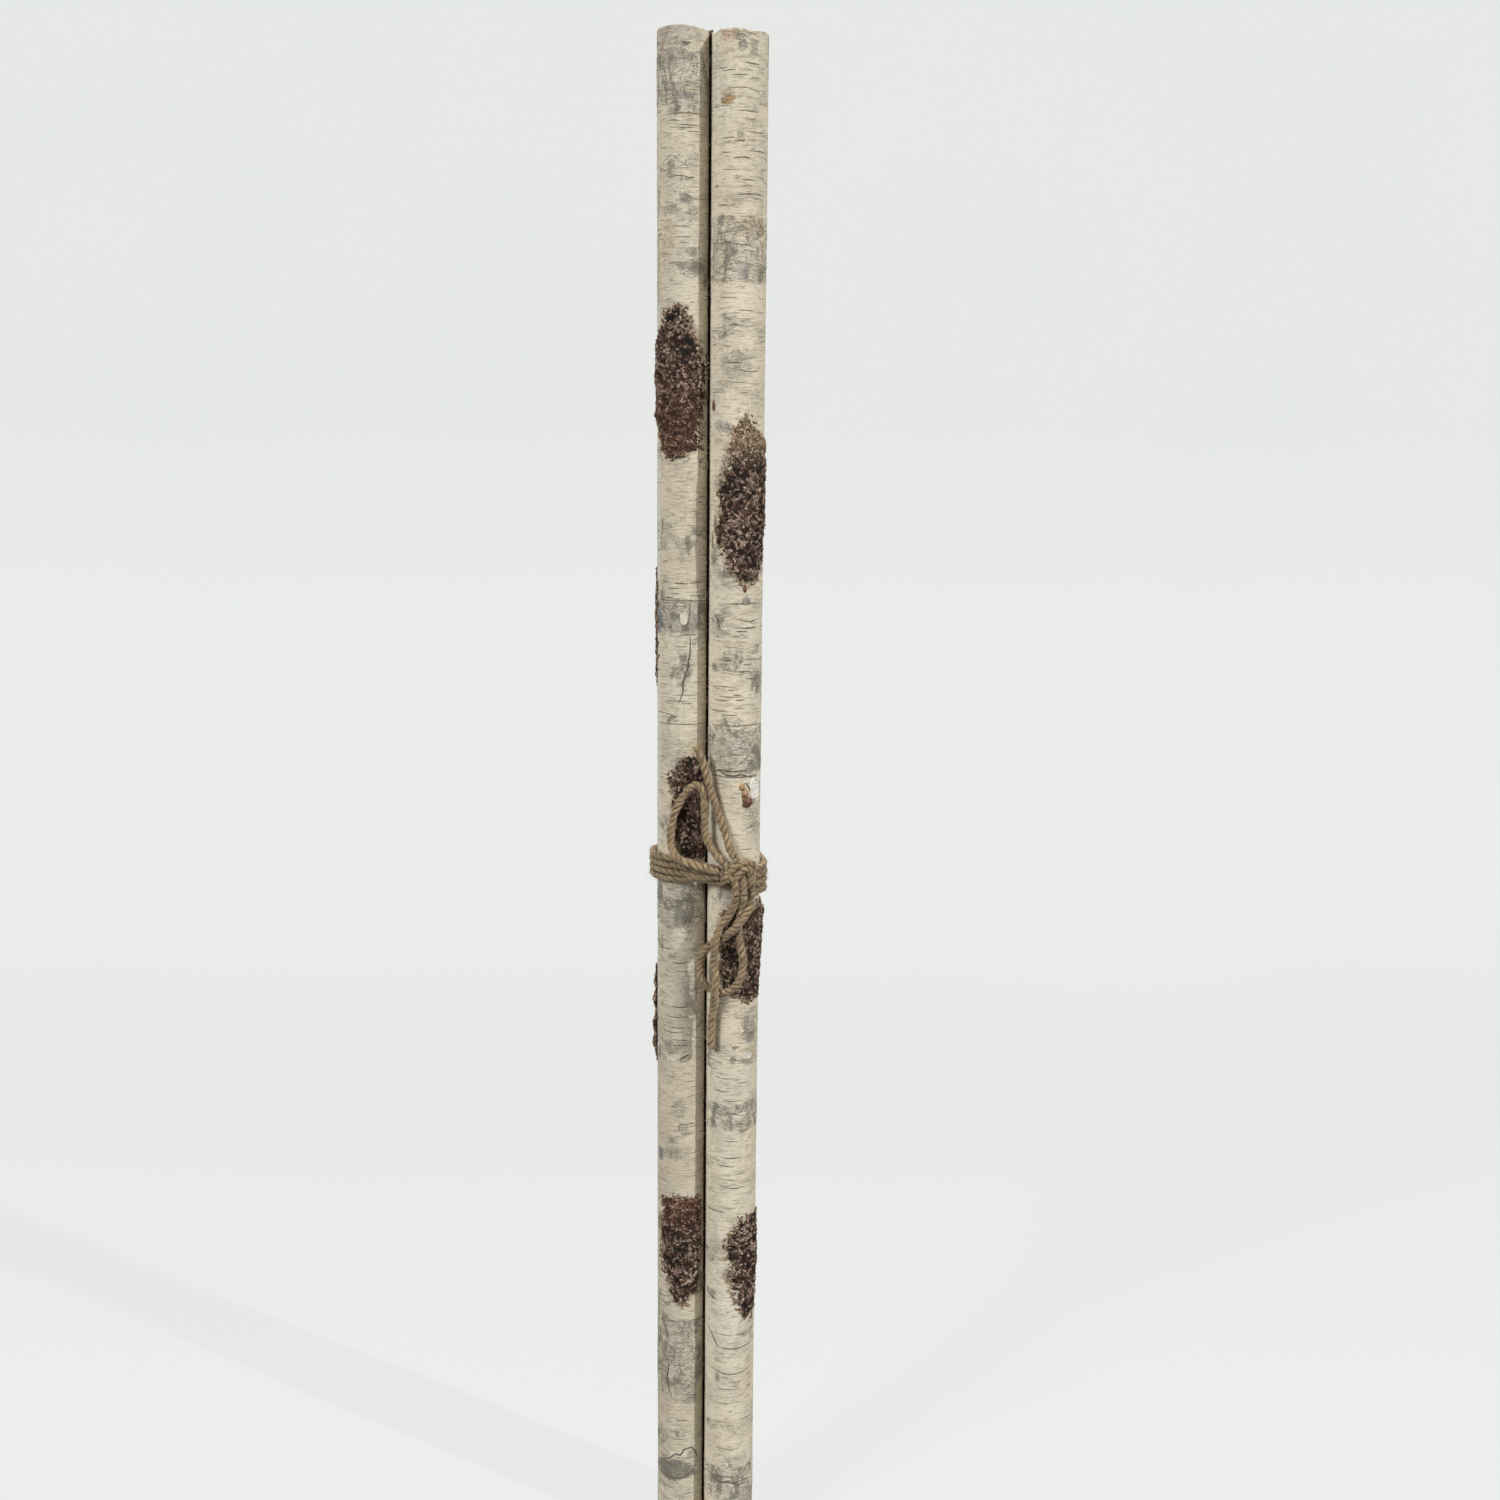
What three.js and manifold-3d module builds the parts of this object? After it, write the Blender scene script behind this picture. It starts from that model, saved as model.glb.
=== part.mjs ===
// Three birch poles standing on their sawn ends, bound at half height with jute twine tied in a bow.
// Millimetres and degrees, +Z up. The bow is on the -Y side. Angles round a pole start at -Y and grow towards +X.
import * as THREE from "three";
import { mergeVertices } from "three/addons/utils/BufferGeometryUtils.js";
import Module from "manifold-3d";

const wasm = await Module();
wasm.setup();

// Driving dimensions of the poles.
const POLE_RADIUS = 15.4;
const POLE_GAP = 0.3;
const PAIR_TURN = 15; // the right pole stands nearer the front than the left one
const PAIR_SETBACK = 8; // the middle of the front pair is this far in front of the origin
const POLE_SIDES = 24;
const RING_SPACING = 90;
const RING_RISE = 0.4;
const RING_SLOPE = 2;
const SAWN_BEVEL = 0.5;
const NEIGHBOUR_ZONE = 28; // bark within this angle of a touching pole stays round

// Driving dimensions of the rough bark.
const CRUST_RISE = 1.5;
const CRUST_RIM = 0.45; // share of the rise that is left at a patch's rim
const CRUST_ROOT = 2.5;
const CRUST_ROW = 9.5;
const CRUST_COLUMN = 17;
const CRUST_RAGGED = 3.5;
const CRUST_LOW = 0.6; // share of the rise at the lowest lumps inside a patch
const SCAR_RADIUS = 3;
const SCAR_SINK = 1.2;
const SCAR_SIDES = 8;
const SCAR_RINGS = 6;

// Driving dimensions of the twine.
const TWINE_DIAMETER = 4;
const PRESSED_TWINE = 3.7; // across the turns that lie tight on the bark
const TURNS = 4;
const TURN_PITCH = 4.1;
const TURN_PITCH_RIGHT = 4.9;
const WRAP_HEIGHT = 449;
const WRAP_LEAN = 0.04; // the turns sit lower on the right
const WRAP_STANDOFF = 2.75; // from the bark to the middle of the twine
const WRAP_STEPS = 88;
const TWINE_SIDES = 8;
const CORD_STEP = 6.5;
const KNOT_ANGLE = 14; // where the knot sits on the right pole
const KNOT_STRAND = 4.4;
const KNOT_STEPS = 6;
const THIRD_TURN = 120; // each of the three poles takes a third of a turn of twine

const BARK = { color: 0xd9d2c2, roughness: 0.75, metalness: 0 };
const JUTE = { color: 0x9a7f58, roughness: 0.95, metalness: 0 };

const radians = THREE.MathUtils.degToRad;
const spacing = 2 * POLE_RADIUS + POLE_GAP;
const pairTurn = radians(PAIR_TURN);
const pairMiddle = new THREE.Vector2(0, -PAIR_SETBACK);
const alongPair = new THREE.Vector2(Math.cos(pairTurn), -Math.sin(pairTurn));
const behindPair = new THREE.Vector2(Math.sin(pairTurn), Math.cos(pairTurn));
const backDistance = (spacing * Math.sqrt(3)) / 2;
const axes = {
  left: pairMiddle.clone().addScaledVector(alongPair, -spacing / 2),
  right: pairMiddle.clone().addScaledVector(alongPair, spacing / 2),
  back: pairMiddle.clone().addScaledVector(behindPair, backDistance),
};

// Each outline is a list of [height, angle of its left rim, angle of its right rim], from the bottom up.
const TALL_CRUST = [
  [686, -30, -20], [693, -54, 38], [703, -66, 48], [712, -88, 47], [722, -100, 54], [736, -104, 55],
  [746, -98, 47], [753, -84, 36], [760, -58, 20], [767, -52, 12], [773, -12, 0],
];
const BOW_CRUST = [
  [461, 2, 55], [466, -14, 55], [474, -20, 55], [483, -22, 55], [488, -26, 55], [494, -17, 55],
  [500, -29, 55], [509, -26, 48], [515, -4, 38], [519, 24, 34],
];
const EDGE_CRUST = [
  [327, -116, -88], [334, -134, -84], [348, -140, -82], [360, -138, -83], [374, -130, -84], [386, -108, -88],
];
const SQUARE_CRUST = [
  [169, -19, 8], [174, -24, 26], [180, -34, 50], [187, -43, 54], [200, -60, 55], [210, -57, 55],
  [222, -66, 55], [232, -55, 55], [238, -55, 50], [243, -47, 38],
];
const SPEAR_CRUST = [
  [617, 20, 27], [622, -4, 56], [629, -19, 69], [635, -31, 77], [644, -54, 88], [650, -48, 92], [660, -40, 96],
  [668, -45, 98], [676, -42, 100], [685, -27, 100], [698, -16, 92], [702, -8, 58], [710, 3, 36], [717, 8, 15],
];
const LOW_BOW_CRUST = [
  [370, 40, 75], [375, 6, 88], [381, -27, 96], [389, -31, 98], [403, -29, 99], [412, -31, 100],
  [421, -33, 102], [427, -31, 103], [431, -4, 100],
];
const SLANTED_CRUST = [
  [164, 30, 56], [172, 17, 84], [180, 8, 90], [187, -1, 94], [193, -13, 96], [199, -3, 98], [205, -5, 100],
  [213, -20, 100], [221, -9, 98], [228, 11, 94], [234, 38, 86],
];

// The same outline further up and round a pole.
function moved(outline, lift, turn) {
  return outline.map(([height, from, to]) => [height + lift, from + turn, to + turn]);
}

// Each ring is [middle height, height] of a band of wrinkled bark. Each scar is [height, angle] of a lost twig.
const poles = {
  left: {
    height: 916,
    rings: [[889, 26], [600, 18], [428, 24], [137, 44]],
    crusts: [TALL_CRUST, BOW_CRUST, EDGE_CRUST, SQUARE_CRUST, moved(SQUARE_CRUST, 382, -128)],
    scars: [],
  },
  right: {
    height: 913,
    rings: [[800, 34], [523, 26], [298, 16], [52, 22]],
    crusts: [SPEAR_CRUST, LOW_BOW_CRUST, SLANTED_CRUST, moved(EDGE_CRUST, 168, 252)],
    scars: [[494, 36]],
  },
  back: {
    height: 914,
    rings: [[850, 20], [566, 30], [322, 22], [96, 30]],
    crusts: [moved(SPEAR_CRUST, 62, 98), moved(SQUARE_CRUST, 160, 226), moved(SLANTED_CRUST, -42, 130)],
    scars: [[528, 96]],
  },
};

// The angles at which the other two poles touch this one.
function touchingAngles(name) {
  const others = Object.keys(axes).filter((other) => other !== name);
  return others.map((other) => {
    const away = axes[other].clone().sub(axes[name]);
    return THREE.MathUtils.radToDeg(Math.atan2(away.x, -away.y));
  });
}

// A repeatable number from 0 to 1 for a place on the bark.
function unevenness(a, b) {
  const wave = Math.sin(a * 12.9898 + b * 78.233) * 43758.5453;
  return wave - Math.floor(wave);
}

function onPole(axis, radius, angle, height) {
  const turn = radians(angle);
  return new THREE.Vector3(axis.x + radius * Math.sin(turn), axis.y - radius * Math.cos(turn), height);
}

function angleBetween(a, b) {
  return Math.abs(THREE.MathUtils.euclideanModulo(a - b + 180, 360) - 180);
}

function solidOf(geometry) {
  const bare = geometry.clone();
  bare.deleteAttribute("normal");
  bare.deleteAttribute("uv");
  const merged = mergeVertices(bare, 1e-3);
  const vertProperties = merged.attributes.position.array;
  const triVerts = new Uint32Array(merged.index.array);
  return new wasm.Manifold(new wasm.Mesh({ numProp: 3, vertProperties, triVerts }));
}

function geometryOf(solid) {
  const mesh = solid.getMesh();
  const geometry = new THREE.BufferGeometry();
  geometry.setAttribute("position", new THREE.BufferAttribute(mesh.vertProperties, mesh.numProp));
  geometry.setIndex(new THREE.BufferAttribute(mesh.triVerts, 1));
  geometry.computeVertexNormals();
  return geometry;
}

// Heights of the bark's outline with how far it stands out there, from the ground to the top.
function barkProfile(pole) {
  const stations = [[SAWN_BEVEL, 0], [pole.height - SAWN_BEVEL, 0]];
  for (const [middle, band] of pole.rings) {
    const low = middle - band / 2;
    const high = middle + band / 2;
    stations.push([low - RING_SLOPE, 0], [low, RING_RISE], [high, RING_RISE], [high + RING_SLOPE, 0]);
  }
  const reach = RING_SPACING / 4;
  const inRing = (height) => pole.rings.some(([middle, band]) => Math.abs(height - middle) < band / 2 + reach);
  for (let height = RING_SPACING; height < pole.height - RING_SPACING / 2; height += RING_SPACING) {
    if (!inRing(height)) stations.push([height, 0]);
  }
  return stations.sort((a, b) => a[0] - b[0]);
}

// A round trunk whose wrinkled rings stop where the next pole touches it.
function trunkSolid(name) {
  const pole = poles[name];
  const axis = axes[name];
  const neighbours = touchingAngles(name);
  const sawn = POLE_RADIUS - SAWN_BEVEL;
  const profile = [new THREE.Vector2(0, 0), new THREE.Vector2(sawn, 0)];
  for (const [height, rise] of barkProfile(pole)) profile.push(new THREE.Vector2(POLE_RADIUS + rise, height));
  profile.push(new THREE.Vector2(sawn, pole.height), new THREE.Vector2(0, pole.height));
  const trunk = new THREE.LatheGeometry(profile, POLE_SIDES).rotateX(Math.PI / 2);
  const place = trunk.attributes.position;
  for (let i = 0; i < place.count; i++) {
    const radius = Math.hypot(place.getX(i), place.getY(i));
    const angle = THREE.MathUtils.radToDeg(Math.atan2(place.getX(i), -place.getY(i)));
    const crowded = neighbours.some((neighbour) => angleBetween(angle, neighbour) < NEIGHBOUR_ZONE);
    const shrink = radius > POLE_RADIUS && crowded ? POLE_RADIUS / radius : 1;
    place.setXY(i, place.getX(i) * shrink, place.getY(i) * shrink);
  }
  return solidOf(trunk.translate(axis.x, axis.y, 0));
}

function rimsAt(outline, height) {
  const above = Math.max(1, outline.findIndex(([level]) => level >= height));
  const [lowHeight, lowFrom, lowTo] = outline[above - 1];
  const [highHeight, highFrom, highTo] = outline[above];
  const share = THREE.MathUtils.clamp((height - lowHeight) / (highHeight - lowHeight), 0, 1);
  const lerp = THREE.MathUtils.lerp;
  return [lerp(lowFrom, highFrom, share), lerp(lowTo, highTo, share)];
}

// A box bent round the pole, with a lumpy outside, ragged rims and its inside sunk into the wood.
function crustSolid(outline, axis) {
  const bottom = outline[0][0];
  const top = outline.at(-1)[0];
  const widest = Math.max(...outline.map(([, from, to]) => to - from));
  const rows = Math.round((top - bottom) / CRUST_ROW);
  const columns = Math.round(widest / CRUST_COLUMN);
  const slab = new THREE.BoxGeometry(1, 1, 1, columns, rows, 1);
  const place = slab.attributes.position;
  for (let i = 0; i < place.count; i++) {
    const across = place.getX(i) + 0.5;
    const up = place.getY(i) + 0.5;
    const height = THREE.MathUtils.lerp(bottom, top, up);
    const [from, to] = rimsAt(outline, height);
    const atSide = across % 1 === 0;
    const atRim = atSide || up % 1 === 0;
    const inward = atSide ? (across < 0.5 ? 1 : -1) * CRUST_RAGGED * unevenness(height, from) : 0;
    const angle = THREE.MathUtils.lerp(from, to, across) + inward;
    const lump = atRim ? CRUST_RIM : THREE.MathUtils.lerp(CRUST_LOW, 1, unevenness(angle, height));
    const radius = place.getZ(i) > 0 ? POLE_RADIUS + CRUST_RISE * lump : POLE_RADIUS - CRUST_ROOT;
    const point = onPole(axis, radius, angle, height);
    place.setXYZ(i, point.x, point.y, point.z);
  }
  return solidOf(slab);
}

// The stub of a lost twig, a small knob half sunk into the bark.
function scarSolid([height, angle], axis) {
  const point = onPole(axis, POLE_RADIUS - SCAR_SINK, angle, height);
  const knob = new THREE.SphereGeometry(SCAR_RADIUS, SCAR_SIDES, SCAR_RINGS);
  return solidOf(knob.translate(point.x, point.y, point.z));
}

function poleMesh(name) {
  const pole = poles[name];
  const axis = axes[name];
  let solid = trunkSolid(name);
  for (const outline of pole.crusts) solid = solid.add(crustSolid(outline, axis));
  for (const scar of pole.scars) solid = solid.add(scarSolid(scar, axis));
  const mesh = new THREE.Mesh(geometryOf(solid), new THREE.MeshStandardMaterial(BARK));
  mesh.name = `pole_${name}`;
  return mesh;
}

// Four turns round all three poles: an arc on each pole and a straight run to the next one.
class WrapCurve extends THREE.Curve {
  constructor() {
    super();
    this.radius = POLE_RADIUS + WRAP_STANDOFF;
    this.arc = (2 * Math.PI * this.radius) / 3;
    this.side = this.arc + spacing;
    this.starts = { right: THIRD_TURN - PAIR_TURN, left: -PAIR_TURN, back: -THIRD_TURN - PAIR_TURN };
    this.order = ["right", "left", "back"];
  }

  // The place after a distance along one turn, seen from above.
  around(distance) {
    const index = Math.min(this.order.length - 1, Math.floor(distance / this.side));
    const name = this.order[index];
    const along = distance - index * this.side;
    const onArc = Math.min(along, this.arc);
    const angle = this.starts[name] - (onArc / this.arc) * THIRD_TURN;
    const point = onPole(axes[name], this.radius, angle, 0);
    const run = along - onArc;
    const turn = radians(angle);
    return point.add(new THREE.Vector3(-Math.cos(turn) * run, -Math.sin(turn) * run, 0));
  }

  getPoint(t, target = new THREE.Vector3()) {
    const perimeter = this.order.length * this.side;
    const startAtKnot = ((this.starts.right - KNOT_ANGLE) / THIRD_TURN) * this.arc;
    const travelled = t * TURNS;
    const distance = (startAtKnot + travelled * perimeter) % perimeter;
    const point = this.around(distance);
    const rightness = THREE.MathUtils.clamp(point.x / (2 * this.radius), 0, 1);
    const pitch = THREE.MathUtils.lerp(TURN_PITCH, TURN_PITCH_RIGHT, rightness);
    point.z = WRAP_HEIGHT + (TURNS / 2 - travelled) * pitch - WRAP_LEAN * point.x;
    return target.copy(point);
  }
}

// A round cord along a curve, with flat ends.
function cordGeometry(path, diameter, steps) {
  const section = new THREE.Shape();
  for (let i = 0; i < TWINE_SIDES; i++) {
    const turn = (i / TWINE_SIDES) * 2 * Math.PI;
    const corner = [Math.cos(turn) * (diameter / 2), Math.sin(turn) * (diameter / 2)];
    if (i === 0) section.moveTo(...corner);
    else section.lineTo(...corner);
  }
  section.closePath();
  return new THREE.ExtrudeGeometry(section, { steps, extrudePath: path, bevelEnabled: false });
}

function pathOf(points) {
  return new THREE.CatmullRomCurve3(points.map((point) => new THREE.Vector3(...point)), false, "centripetal");
}

// The knot's three crossing strands.
const KNOT_STRANDS = [
  [[13, -34.2, 455], [19.5, -35.6, 450.5], [26.5, -32.1, 446]],
  [[13, -34.2, 446.5], [19.5, -35.2, 450], [26.5, -32.1, 455]],
  [[21, -34, 458.5], [19.5, -35.7, 450], [19.5, -34.2, 442.5]],
];

function knotGeometry() {
  const strands = KNOT_STRANDS.map((points) => solidOf(cordGeometry(pathOf(points), KNOT_STRAND, KNOT_STEPS)));
  return geometryOf(strands.reduce((whole, strand) => whole.add(strand)));
}

// The routes of the bow's loops and tails, from the knot outwards.
const CORD_ROUTES = {
  twine_tail_upper: [
    [16, -34.6, 461.5], [13, -32.5, 466.5], [10, -30.2, 475.5], [8, -29, 481.5], [4.5, -28, 491.5],
    [2, -27.6, 498.5], [-0.5, -27.8, 508], [-3, -27.5, 517], [-6.5, -26.4, 524],
  ],
  twine_loop_upper: [
    [9.8, -34, 458], [5.5, -31, 461.6], [1.5, -28, 466.5], [-1, -27.5, 473.5], [-1.5, -27.5, 484], [-2, -27.5, 494],
    [-3.5, -27.1, 500.5], [-7, -26, 502.3], [-12, -25, 498], [-17.5, -23.5, 489.5], [-21, -22.3, 477.5],
    [-21.5, -22.6, 467], [-19.5, -25.3, 461], [-14.5, -27.7, 457], [-4, -30.2, 454.5], [7.5, -33.4, 452],
  ],
  twine_tail_lower: [
    [16.5, -34.9, 438.8], [16.2, -33.6, 434], [13, -32.5, 426.5], [8.5, -31.8, 420], [5.5, -33.2, 413],
    [4.5, -32.9, 405.5], [4.5, -30, 394.5], [5.5, -31.6, 387], [5, -32.8, 380], [4, -30.5, 371.5],
    [3.5, -28, 363.5], [3, -27.9, 354], [3, -27.9, 342.5],
  ],
  twine_loop_lower: [
    [26.2, -31, 441], [25.4, -30.2, 434], [23.4, -33, 428], [18.5, -35.6, 421.5], [13, -32, 415],
    [8, -29.7, 410], [1, -27.4, 405.5], [-3, -26.4, 399], [-4, -26.4, 392], [-3, -26.9, 385], [1.5, -27.6, 380],
    [7.5, -29, 378], [13.5, -31, 379.5], [18.5, -31.3, 384.5], [21, -30.6, 391.5], [21, -30.6, 399.5],
    [20, -31, 408], [18.5, -31, 415.5], [18.5, -31.1, 421.5], [19.8, -31.2, 429], [21, -32.5, 434], [21.4, -34.4, 439],
  ],
};

function cordMesh(name, geometry) {
  const mesh = new THREE.Mesh(geometry, new THREE.MeshStandardMaterial(JUTE));
  mesh.name = name;
  return mesh;
}

const bundle = new THREE.Group();
for (const name of Object.keys(poles)) bundle.add(poleMesh(name));
bundle.add(cordMesh("twine_wraps", cordGeometry(new WrapCurve(), PRESSED_TWINE, WRAP_STEPS)));
bundle.add(cordMesh("twine_knot", knotGeometry()));
for (const [name, points] of Object.entries(CORD_ROUTES)) {
  const path = pathOf(points);
  const steps = Math.round(path.getLength() / CORD_STEP);
  bundle.add(cordMesh(name, cordGeometry(path, TWINE_DIAMETER, steps)));
}

export default bundle;
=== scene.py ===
"""Three birch poles bound with jute twine: bark, rough bark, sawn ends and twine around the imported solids.

Lengths in this script are millimetres and angles are degrees, up to where a mesh is made in metres.
An angle round a pole starts at its front, at -Y, and grows towards +X.
"""

import math

import bpy
import numpy as np
from mathutils import Matrix, Vector


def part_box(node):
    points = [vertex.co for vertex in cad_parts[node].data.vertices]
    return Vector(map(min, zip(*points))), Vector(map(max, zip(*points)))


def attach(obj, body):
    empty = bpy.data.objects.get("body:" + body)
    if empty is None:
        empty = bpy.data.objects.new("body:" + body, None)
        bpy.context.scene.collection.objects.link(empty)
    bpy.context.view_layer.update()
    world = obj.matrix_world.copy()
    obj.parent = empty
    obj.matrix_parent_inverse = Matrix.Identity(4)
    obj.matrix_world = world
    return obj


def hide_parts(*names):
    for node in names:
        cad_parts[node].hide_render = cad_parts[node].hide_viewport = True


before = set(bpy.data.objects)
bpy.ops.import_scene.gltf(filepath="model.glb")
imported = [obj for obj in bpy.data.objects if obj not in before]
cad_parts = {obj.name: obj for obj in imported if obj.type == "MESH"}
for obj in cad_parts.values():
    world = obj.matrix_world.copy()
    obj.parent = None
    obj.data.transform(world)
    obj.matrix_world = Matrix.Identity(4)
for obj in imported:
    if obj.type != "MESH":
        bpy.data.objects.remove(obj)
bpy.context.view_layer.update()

MM = 0.001

# Camera, measured in the picture of 1500 by 1500 pixels.
PICTURE_SIDE = 1500
FOCAL_PIXELS = 1650
SENSOR_WIDTH = 36
CAMERA_PLACE = (24.12, -956.56, 708.4)
CAMERA_PITCH = 11.25
CAMERA_ROLL = 0.6

# Poles.
POLE_RADIUS = 15.4
POLE_GAP = 0.3
POLE_SPACING = 2 * POLE_RADIUS + POLE_GAP
PAIR_TURN = 15
PAIR_SETBACK = 8
BARK_COLUMNS = 96
BARK_ROW = 1.0
BACK_ROW = 1.6
BARK_BASE = 15.34
RAGGED_ZONE = 5
RAGGED_DEPTH = 2.4
RING_RISE = 0.192
WRINKLE_WAVER = 1.6
WRINKLE_RISE = 0.16
SWELLING_RISE = 0.3
MAZE_WARP = 16
MAZE_WIDTH = 0.4
MAZE_DEPTH = 0.55
TOUCH_ZONE = 26
TOUCH_RISE = 0.08
RIM_BARK = 1.1
CAP_SINK = 0.5
# The sawn ends are rings from the middle outwards, at these shares of the pole's radius.
SAWN_RINGS = (0.02, 0.2, 0.4, 0.6, 0.8, 0.94)

# Lenticels, cracks, scraps and stubs.
CRACK_WIDTH = 1.1
CRACK_STEPS = 9
LENTICEL_FADE = 0.12
LENTICEL_STEP = 1.1
CROWD = 210
BACK_CROWD = 300
CROWD_HEIGHTS = (14, 895)
CROWD_SHORT = (8, 22)
CROWD_LONG = (20, 60)
CROWD_THICKNESS = (0.4, 0.85)
CROWD_FADE = (0.0, 0.7)
# Across a line on the bark, from rim to rim: (share of half its width, height over the bark).
RIDGE_PROFILE = ((-1.2, -0.12), (-0.9, 0.03), (0, 0.06), (0.9, 0.03), (1.2, -0.12))
SCRAP_SIDE = 11
SCRAP_THICKNESS = 0.2
STUB_ROWS = 15
STUB_SIDES = 24

# Rough bark.
CRUST_RISE = 1.5
GRAIN_SIZE = 1.6
GRAIN_LONG = 0.68
GRAIN_STEP = 0.42
BACK_GRAIN_STEP = 0.62
CRUST_MARGIN = 3.0
CRUST_SEED_STEP = 100
GRAIN_WARP = 2.2
RAGGED_RIM = 6.5
RAGGED_GRAINS = 2.2
AIRY_LOSS = 5
AIRY_TONE = 0.7

# Twine.
FLUFFED_TWINE = 5.1
PRESSED_TWINE = 4.3
TWINE_LAY = 12
TWINE_PLIES = 3
TWINE_SIDES = 21
TWINE_STEP = 0.75
# Painted shade starts where twine comes this close to other twine, and is full at the next distance.
CREASE_CLEAR = 3.0
CREASE_DEEP = 2.0
OWN_STRAND = 2.7
TURNS = 4
TURN_PITCH = 4.1
TURN_PITCH_RIGHT = 4.9
WRAP_HEIGHT = 449
WRAP_LEAN = 0.04
WRAP_STANDOFF = 2.75
KNOT_ANGLE = 14
THIRD_TURN = 120
WRAP_STEPS = 280
CURVE_STEPS = 24

# Loose fibres.
FIBRES_PER_MM = 2.0
FIBRE_THICKNESS = 0.08
FIBRE_JOINTS = 6
FIBRE_SIDES = 3
FIBRE_SEED = 5
SHORT_SHARE = 0.85
SHORT_FIBRE = (1.5, 4.5)
LONG_FIBRE = (4.5, 8)
FRAYED_FIBRES = 90
FRAYED_FIBRE = (3, 9)

# Studio.
FLOOR_GLOW = 0.712
FLOOR_SHADE = 0.10
SWEEP_HALF_WIDTH = 4000
SWEEP_FRONT = -3000
SWEEP_BEND_START = 900
SWEEP_BEND_RADIUS = 700
SWEEP_BEND_STEPS = 16
SWEEP_TOP = 1420
SWEEP_TINTS = ((0.96, 0.995, 0.97), (0.97, 1.0, 0.98))
SKY_COLOUR = (0.965, 1.0, 0.975, 1)
SKY_TINT = (1.0, 0.95, 0.86, 1)
SKY_LIGHT = 0.43
SKY_SEEN = 0.82
LAMP_COLOUR = (0.985, 1.0, 0.985)
# Each lamp is [angle from the front towards +X, angle above the floor, watts for each square metre, how
# wide it looks in degrees]. The one behind stands high enough to shine over the wall.
LAMPS = {
    "lamp_right": [59, 34, 2.05, 1.4],
    "lamp_left": [-43, 34, 1.95, 18],
    "lamp_back": [168, 47, 1.7, 20],
}

# Noise on the skin of a pole: (cells round the pole, height of a cell, layers, what is added to its seed).
NOISES = {
    "waves": (9, 30, 1, 3),
    "wrinkles": (13, 2.6, 3, 0),
    "swellings": (4, 60, 2, 9),
    "warps": (18, 7, 1, 15),
    "maze": (22, 4.5, 2, 12),
    "ragged_top": (17, 10, 3, 60),
    "tints": (3, 70, 2, 50),
    "warmth": (5, 40, 2, 52),
    "clouds": (7, 9, 3, 40),
    "streaks": (5, 2.6, 3, 44),
    "stain_rims": (14, 3.6, 3, 31),
    "crack_wobble": (40, 5, 1, 0),
    "grain_warps": (30, 4.0, 3, 3),
    "grain_clumps": (18, 6.0, 2, 11),
    "crust_rims": (44, 3.4, 2, 7),
    "scrap_rims": (12, 1, 1, 0),
    "stub_lumps": (6, 0.9, 2, 70),
}

# Each outline is a list of [height, angle of its left rim, angle of its right rim], from the bottom up.
TALL_CRUST = [
    [686, -30, -20], [693, -54, 38], [703, -66, 48], [712, -88, 47], [722, -100, 54], [736, -104, 55],
    [746, -98, 47], [753, -84, 36], [760, -58, 20], [767, -52, 12], [773, -12, 0],
]
BOW_CRUST = [
    [455, -6, 60], [461, -12, 62], [474, -20, 62], [483, -22, 60], [488, -26, 58], [494, -17, 56],
    [500, -29, 55], [509, -26, 48], [515, -4, 38], [519, 24, 34],
]
EDGE_CRUST = [
    [327, -116, -88], [334, -134, -84], [348, -140, -82], [360, -138, -83], [374, -130, -84],
    [386, -108, -88],
]
SQUARE_CRUST = [
    [169, -19, 8], [174, -24, 26], [180, -34, 50], [187, -43, 54], [200, -60, 55], [210, -57, 55],
    [222, -66, 55], [232, -55, 55], [238, -55, 50], [243, -47, 38],
]
SPEAR_CRUST = [
    [617, 20, 27], [622, -4, 56], [629, -19, 69], [635, -31, 77], [644, -54, 88], [650, -48, 92],
    [660, -40, 96], [668, -45, 98], [676, -42, 100], [685, -27, 100], [698, -16, 92], [702, -8, 58],
    [710, 3, 36], [717, 8, 15],
]
LOW_BOW_CRUST = [
    [370, 40, 75], [375, 6, 88], [381, -27, 96], [389, -31, 98], [403, -29, 99], [412, -31, 100],
    [421, -33, 102], [427, -31, 103], [431, -4, 100],
]
SLANTED_CRUST = [
    [164, 30, 56], [172, 17, 84], [180, 8, 90], [187, -1, 94], [193, -13, 96], [199, -3, 98],
    [205, -5, 100], [213, -20, 100], [221, -9, 98], [228, 11, 94], [234, 38, 86],
]


def moved(outline, lift, turn):
    """The same outline further up and round a pole."""
    return [[height + lift, start + turn, end + turn] for height, start, end in outline]


# How patches differ from plain dark brown grains: the heights between which one turns to rust or tan, gaps
# between its grains where it is airy, and its lumps as [height, angle, radius, extra rise].
CRUST_LOOKS = {
    "left_upper": {
        "rust": [745, 680], "airy": True,
        "lumps": [[735, -92, 5, 0.6], [712, -86, 4, 0.5], [690, -20, 4, 0.8]],
    },
    "left_edge": {
        "rust": [386, 340],
        "lumps": [[376, -93, 5, 1.5], [364, -91, 4, 2.0], [349, -90, 7, 2.3], [337, -92, 5, 1.9]],
    },
    "left_lower": {"rust": [214, 240], "airy": True, "lumps": [[205, -52, 5, 0.5], [180, 10, 5, 0.4]]},
    "right_upper": {"tan": [682, 700], "airy": True, "lumps": [[660, 60, 8, 0.4]]},
    "right_bow": {"airy": True, "lumps": [[424, 92, 4, 2.4], [415, 92, 7, 1.7], [402, 93, 7, 1.0]]},
    "right_lower": {"airy": True, "lumps": [[205, 80, 9, 0.6]]},
}
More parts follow.
